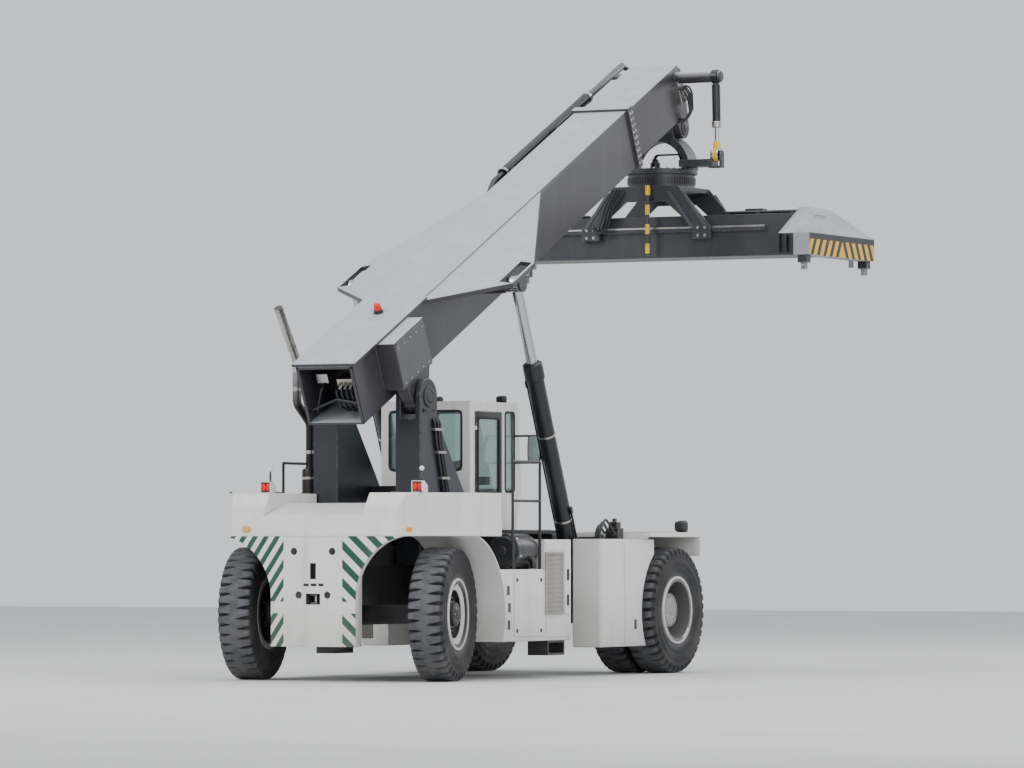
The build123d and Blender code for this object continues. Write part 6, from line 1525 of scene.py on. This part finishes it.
@dataclass
class Cab:
    """Operator's cab with its door, glass, controls and seat."""

    floor: float = 2.15
    seat_x: float = REAR_AXLE_X + 2.85

    def build(self) -> None:
        """Dress the cab."""
        softened("cab_shell", WHITE, "chassis", 0.014)
        softened("cab_door", RAIL, "cab_door", 0.01)
        softened("control_console", PLASTIC, "chassis", 0.0)
        for node, body in (("cab_glass", "chassis"), ("cab_door_glass", "cab_door")):
            softened(node, GLASS, body, 0.0)
        for name, side in SIDES:
            self.mirror(name, side)
        self.seals()
        self.lamps()
        self.handles()
        self.seat()

    def mirror(self, name: str, side: int) -> None:
        """Rounded mirror case with its glass facing back, on two arms."""
        x, y, z = REAR_AXLE_X + 3.65, side * 1.05, 3.05
        case = Stock()
        rows = []
        for dx, inset in ((0.0, 0.008), (0.012, 0.0), (0.036, 0.006), (0.050, 0.035)):
            w, h = 0.11 - inset, 0.21 - inset
            rows.append([(x + dx, y + w * math.copysign(abs(math.cos(t)) ** 0.45, math.cos(t)),
                          z + 0.21 + h * math.copysign(abs(math.sin(t)) ** 0.45, math.sin(t)))
                         for t in (math.tau * (i + 0.5) / 32 for i in range(32))])
        case.loft(rows)
        for dz in (0.016, 0.404):
            case.bar((x + 0.025, side * 0.715, z + dz), (x + 0.025, side * 0.97, z + dz), 0.015, 14)
        case.piece("mirror_case_" + name, MIRROR_CASE, "chassis", ("mirrors",))
        glass = Stock()
        glass.loft([[(x + dx, y + w * math.copysign(abs(math.cos(t)) ** 0.45, math.cos(t)),
                      z + 0.21 + (w + 0.10) * math.copysign(abs(math.sin(t)) ** 0.45, math.sin(t)))
                     for t in (math.tau * (i + 0.5) / 32 for i in range(32))] for dx, w in ((0.004, 0.093), (-0.0005, 0.093))])
        glass.piece("mirror_glass_" + name, MIRROR_GLASS, "chassis")

    def rubber_frame(self, stock: Stock, place: Matrix, width: float, height: float, radius: float = 0.07) -> None:
        """Rubber surround with round corners, in the XZ plane of place, proud along -Y."""
        rings = []
        for inset, y in ((-0.018, 0.004), (-0.018, -0.006), (-0.006, -0.010), (0.014, -0.008), (0.016, 0.004)):
            ring = []
            for cx, cz, start in ((1, 1, 0), (-1, 1, 90), (-1, -1, 180), (1, -1, 270)):
                for step in range(6):
                    t = math.radians(start + 18 * step)
                    ring.append((cx * (width / 2 - radius) + (radius - inset) * math.cos(t), y,
                                 cz * (height / 2 - radius) + (radius - inset) * math.sin(t)))
            rings.append(ring)
        stock.loft(rings, place, ring=True)

    def seals(self) -> None:
        """Rubber surrounds of the fixed side and rear windows, and of the door's pane."""
        fixed, door = Stock(), Stock()
        side_z = (2.65 + 3.79) / 2
        self.rubber_frame(fixed, Matrix.Translation((REAR_AXLE_X + 3.535, -0.72, side_z)), 0.29, 1.14, 0.05)
        self.rubber_frame(fixed, Matrix.Translation((REAR_AXLE_X + 3.06, 0.72, side_z)) @ Matrix.Rotation(math.pi, 4, "Z"), 1.24,
                          1.14)
        self.rubber_frame(fixed, Matrix.Translation((REAR_AXLE_X + 2.30, 0, 3.37)) @ Matrix.Rotation(-math.pi / 2, 4, "Z"), 1.16,
                          0.84)
        fixed.piece("window_seals", SEAL, "chassis")
        self.rubber_frame(door, Matrix.Translation((REAR_AXLE_X + 2.875, -0.72, 3.16)), 0.66, 1.07, 0.06)
        door.piece("door_seal", SEAL, "cab_door")

    def lamps(self) -> None:
        """Work lamps on the roof and the fenders: housings with clear lenses facing forwards."""
        housing, lens = Stock(), Stock()
        for side in (-1, 1):
            for x0, x1, y, z, w, h in ((3.59, 3.70, 0.52, 3.93, 0.15, 0.11), (6.95, 7.12, 1.78, 2.07, 0.18, 0.18)):
                y *= side
                back, front = REAR_AXLE_X + x0, REAR_AXLE_X + x1
                rows = []
                for x, grow in ((back, 0.62), (back + 0.25 * (front - back), 0.86), (front - 0.012, 1.0), (front - 0.004, 0.97)):
                    a, b = w / 2 * grow, h / 2 * grow
                    rows.append([(x, y + a * math.copysign(abs(math.cos(t)) ** 0.5, math.cos(t)),
                                  z + h / 2 + b * math.copysign(abs(math.sin(t)) ** 0.5, math.sin(t)))
                                 for t in (math.tau * (i + 0.5) / 24 for i in range(24))])
                housing.loft(rows)
                housing.box((back + 0.02, y - 0.02, z), (back + 0.06, y + 0.02, z + h * 0.3))
                lens.loft([[(x, y + s * w / 2 * math.copysign(abs(math.cos(t)) ** 0.5, math.cos(t)),
                             z + h / 2 + s * h / 2 * math.copysign(abs(math.sin(t)) ** 0.5, math.sin(t)))
                            for t in (math.tau * (i + 0.5) / 24 for i in range(24))] for x, s in ((front - 0.008, 0.86),
                                                                                              (front - 0.0005, 0.80))])
        housing.piece("work_lamp_cases", MIRROR_CASE, "chassis", ("work_lamps",))
        lens.piece("work_lamp_lenses", LAMP, "chassis", ("work_lamps",))

    def handles(self) -> None:
        """Door handle and wiper."""
        door = Stock()
        door.bar((REAR_AXLE_X + 3.20, -0.745, 2.46), (REAR_AXLE_X + 3.20, -0.745, 2.60), 0.011, 12)
        for z in (2.47, 2.59):
            door.bar((REAR_AXLE_X + 3.20, -0.715, z), (REAR_AXLE_X + 3.20, -0.745, z), 0.009, 10)
        door.piece("door_handle", STEEL, "cab_door")
        wiper = Stock()
        wiper.bar((REAR_AXLE_X + 2.292, -0.05, 3.02), (REAR_AXLE_X + 2.280, -0.05, 3.02), 0.028, 18)
        wiper.bar((REAR_AXLE_X + 2.282, -0.05, 3.02), (REAR_AXLE_X + 2.284, 0.20, 3.45), 0.008, 10)
        wiper.bar((REAR_AXLE_X + 2.288, 0.10, 3.22), (REAR_AXLE_X + 2.288, 0.30, 3.68), 0.009, 8)
        wiper.piece("rear_wiper", MIRROR_CASE, "chassis")

    def seat(self) -> None:
        """Seat pads on the pedestal, with armrests."""
        x, floor = self.seat_x, self.floor
        hard = Stock()
        hard.turned([(0.0005, 0.0), (0.0005, 0.33), (0.085, 0.33), (0.090, 0.20), (0.090, 0.0)], (x, 0, floor), Axis.Z, 32)
        hard.box((x - 0.25, -0.24, floor + 0.33), (x + 0.25, 0.24, floor + 0.365))
        for side in (-1, 1):
            y0, y1 = sorted((side * 0.252, side * 0.328))
            hard.box((x - 0.185, y0, floor + 0.565), (x + 0.185, y1, floor + 0.635))
            hard.box((x - 0.185, y0, floor + 0.36), (x - 0.115, y1, floor + 0.565))
        hard.piece("seat_frame", PLASTIC, "chassis", ("operator_seat",), 0.012, 3)
        lean = Matrix.Translation((x - 0.20, 0, floor + 0.47)) @ Matrix.Rotation(-math.atan2(0.10, 0.68), 4, "Y")
        for name, place, size in (("seat_pad", Matrix.Translation((x, 0, floor + 0.415)), (0.255, 0.245, 0.055)),
                                  ("back_pad", lean @ Matrix.Translation((0.0, 0, 0.34)), (0.055, 0.24, 0.335))):
            self.pad(name, place, size)

    def pad(self, name: str, place: Matrix, size: Point) -> None:
        """Crowned cushion with a welt and two sewn channels on each broad face."""
        a, b, c = size
        thin = size.index(min(size))
        stock = Stock()
        bmesh.ops.create_cube(stock.bm, size=2.0)
        bmesh.ops.subdivide_edges(stock.bm, edges=stock.bm.edges[:], cuts=19, use_grid_fill=True)
        wide = [i for i in range(3) if i != thin]
        for vert in stock.bm.verts:
            p = list(vert.co)
            u, v, w = p[wide[0]], p[wide[1]], p[thin]
            crown = (1 - u ** 4) * (1 - v ** 4)
            pull = 1 - 0.05 * (1 - abs(w)) * (1 - (u * v) ** 2)
            channel = 0.10 * (math.exp(-((abs(v) - 0.42) / 0.035) ** 2) + math.exp(-((abs(u) - 0.80) / 0.03) ** 2) * (abs(v) < 0.9))
            p[thin] = w * (0.62 + 0.38 * crown - channel * (abs(w) > 0.95))
            round_off = max(0.0, abs(u) + abs(v) - 1.72) * 0.35
            p[wide[0]] = u * (pull - round_off) * (1.0 - 0.03 * abs(w) ** 3)
            p[wide[1]] = v * (pull - round_off) * (1.0 - 0.03 * abs(w) ** 3)
            vert.co = Vector((p[0] * a, p[1] * b, p[2] * c))
        stock.bm.transform(place)
        obj = stock.piece(name, SEAT_CLOTH, "chassis", ("operator_seat",), sharp=60.0)


@dataclass
class Exhausts:
    """Exhaust stack and air cleaner."""

    x: float = REAR_AXLE_X + 1.8
    y: float = 1.6

    def build(self) -> None:
        """Dress both."""
        self.silencer()
        self.stack()
        self.drum()

    def silencer(self) -> None:
        """Silencer with domed ends and straps."""
        can = Stock()
        can.turned([(0.0005, 0.0), (0.0005, 1.46), (0.07, 1.46), (0.075, 1.44), (0.105, 1.43), (0.119, 1.40), (0.1195, 0.03),
                    (0.112, 0.0)], (self.x, self.y, 1.54), Axis.Z, 48)
        can.piece("silencer", STACK, "chassis", ("exhaust_stack",))
        straps = Stock()
        for z in (1.72, 2.28, 2.82):
            straps.turned([(0.1192, 0.0), (0.1192, 0.035), (0.1199, 0.033), (0.1199, 0.002)], (self.x, self.y, z), Axis.Z, 48)
            straps.box((self.x - 0.02, self.y + 0.112, z), (self.x + 0.02, self.y + 0.1198, z + 0.035))
        straps.piece("silencer_straps", STEEL, "chassis")

    def stack(self) -> None:
        """Bent tail pipe with sleeves at its joints; its capped end holds a dark disc for the open mouth, painted shade
        of the pipe's inside with its soot.
        """
        route = [(self.x, self.y, 2.95), (self.x, self.y, 3.62), (self.x - 0.25, self.y + 0.08, 3.90),
                 (self.x - 0.25, self.y + 0.08, 4.50), (self.x - 0.80, self.y + 0.08, 5.25)]
        pipes("tail_pipe", [route], 0.0635, STACK, "chassis", 0.16, replaces=("exhaust_stack",))
        sleeves = Stock()
        for start, end, share in ((route[0], route[1], 0.35), (route[2], route[3], 0.30), (route[2], route[3], 0.74),
                                  (route[3], route[4], 0.24)):
            a, b = Vector(start), Vector(end)
            at = Matrix.Translation(a.lerp(b, share)) @ (b - a).to_track_quat("Z", "Y").to_matrix().to_4x4()
            sleeves.turned([(0.0634, 0.0), (0.0634, 0.05), (0.0650, 0.046), (0.0650, 0.004)], (0, 0, 0), Axis.Z, 40, at)
        a, b = Vector(route[3]), Vector(route[4])
        at = Matrix.Translation(b) @ (b - a).to_track_quat("Z", "Y").to_matrix().to_4x4()
        sleeves.turned([(0.056, -0.012), (0.056, 0.0), (0.0648, 0.0), (0.0648, -0.06), (0.0634, -0.06)], (0, 0, 0), Axis.Z, 40, at)
        sleeves.piece("pipe_sleeves", STEEL, "chassis")
        # Dark disc in the capped end: the pipe's sooty inside and painted shade of the open mouth.
        soot_and_shade = Stock()
        soot_and_shade.turned([(0.0005, -0.004), (0.0005, 0.0006), (0.056, 0.0006), (0.056, -0.004)], (0, 0, 0), Axis.Z, 32, at)
        soot_and_shade.piece("pipe_mouth", CHASSIS, "chassis")

    def drum(self) -> None:
        """Air cleaner: ribbed drum with a clipped lid, and its outlet elbow."""
        softened("air_cleaner", BLACK, "chassis", 0.014)
        low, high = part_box("air_cleaner")
        y, z = -1.6, 1.54 + 0.02 + 0.24
        trim = Stock()
        for x in (low.x + 0.05, low.x + 0.16, high.x - 0.10):
            trim.turned([(0.236, 0.0), (0.236, 0.03), (0.2425, 0.026), (0.2425, 0.004)], (x, y, z), Axis.X, 56)
        trim.turned([(0.0005, 0.0), (0.0005, 0.012), (0.05, 0.012), (0.065, 0.0)], (low.x - 0.0, y, z), Axis.X, 24,
                    Matrix.Translation((low.x, y, z)) @ Matrix.Rotation(math.pi, 4, "Z") @ Matrix.Translation((-low.x, -y, -z)))
        trim.piece("drum_bands", RAIL, "chassis")
        clip = Stock().box((-0.004, -0.035, -0.016), (0.009, 0.035, 0.016))
        place = Matrix.Translation((low.x + 0.12, y, z)) @ Matrix.Rotation(math.pi / 2, 4, "Z")
        ringed("drum_clips", clip, 6, 0.240, STEEL, "chassis", place, 0.3)
        pipes("drum_outlet", [[(high.x - 0.2, -1.74, 1.72), (high.x - 0.2, -1.86, 1.66), (high.x - 0.2, -1.86, 1.55)]], 0.045, BLACK,
              "chassis", 0.08)


@dataclass
class Studio:
    """Floor, lights and the camera at the photograph's viewing angle."""

    eye: Point = (-74.6, -38.07, 1.82)
    target: Point = (-0.15, 0.0, 4.25)
    lens: float = 200.0
    floor_size: float = 160.0

    def build(self) -> None:
        """Set the stage."""
        floor = Stock()
        half = self.floor_size / 2
        floor.box((-half, -half, -0.05), (half, half, 0.0))
        mesh = floor.mesh("floor")
        g = Graph("floor_grey")
        g.put("Base Color", g.mix(g.band(g.noise(0.4, 6.0), 0.3, 0.7), (0.60, 0.60, 0.59), (0.66, 0.66, 0.65)))
        g.put("Roughness", 0.75)
        mesh.materials.append(g.material)
        obj = bpy.data.objects.new("floor", mesh)
        bpy.context.scene.collection.objects.link(obj)
        self.light("key", (-26, 14, 26), 16.0, 5200.0)
        self.light("fill", (-22, -26, 16), 18.0, 3600.0)
        self.light("front", (24, -14, 20), 16.0, 2600.0)
        self.light("top", (2, 0, 30), 20.0, 3000.0)
        world = bpy.data.worlds.new("studio")
        world.use_nodes = True
        world.node_tree.nodes["Background"].inputs[0].default_value = (0.90, 0.93, 0.97, 1)
        world.node_tree.nodes["Background"].inputs[1].default_value = 0.95
        bpy.context.scene.world = world
        camera = bpy.data.objects.new("camera", bpy.data.cameras.new("camera"))
        bpy.context.scene.collection.objects.link(camera)
        camera.location = self.eye
        camera.rotation_euler = (Vector(self.target) - Vector(self.eye)).to_track_quat("-Z", "Y").to_euler()
        camera.data.lens = self.lens
        camera.data.sensor_width = 36.0
        camera.data.clip_end = 400.0
        bpy.context.scene.camera = camera

    @staticmethod
    def light(name: str, where: Point, size: float, power: float) -> None:
        """Add one large soft light that faces the machine."""
        lamp = bpy.data.lights.new(name, "AREA")
        lamp.shape = "SQUARE"
        lamp.size = size
        lamp.energy = power
        obj = bpy.data.objects.new(name, lamp)
        bpy.context.scene.collection.objects.link(obj)
        obj.location = where
        obj.rotation_euler = (Vector((0, 0, 3)) - Vector(where)).to_track_quat("-Z", "Y").to_euler()


def main() -> None:
    """Build the machine in order."""
    logging.basicConfig(level=logging.INFO, format="%(message)s")
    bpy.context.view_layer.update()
    Patterns.build()
    for part in (RunningGear(Tyre()), Tail(), Body(), Boom(), Head(), Cab(), Exhausts(), Studio()):
        log.info("building %s", type(part).__name__)
        part.build()


if __name__ == "__main__":
    main()
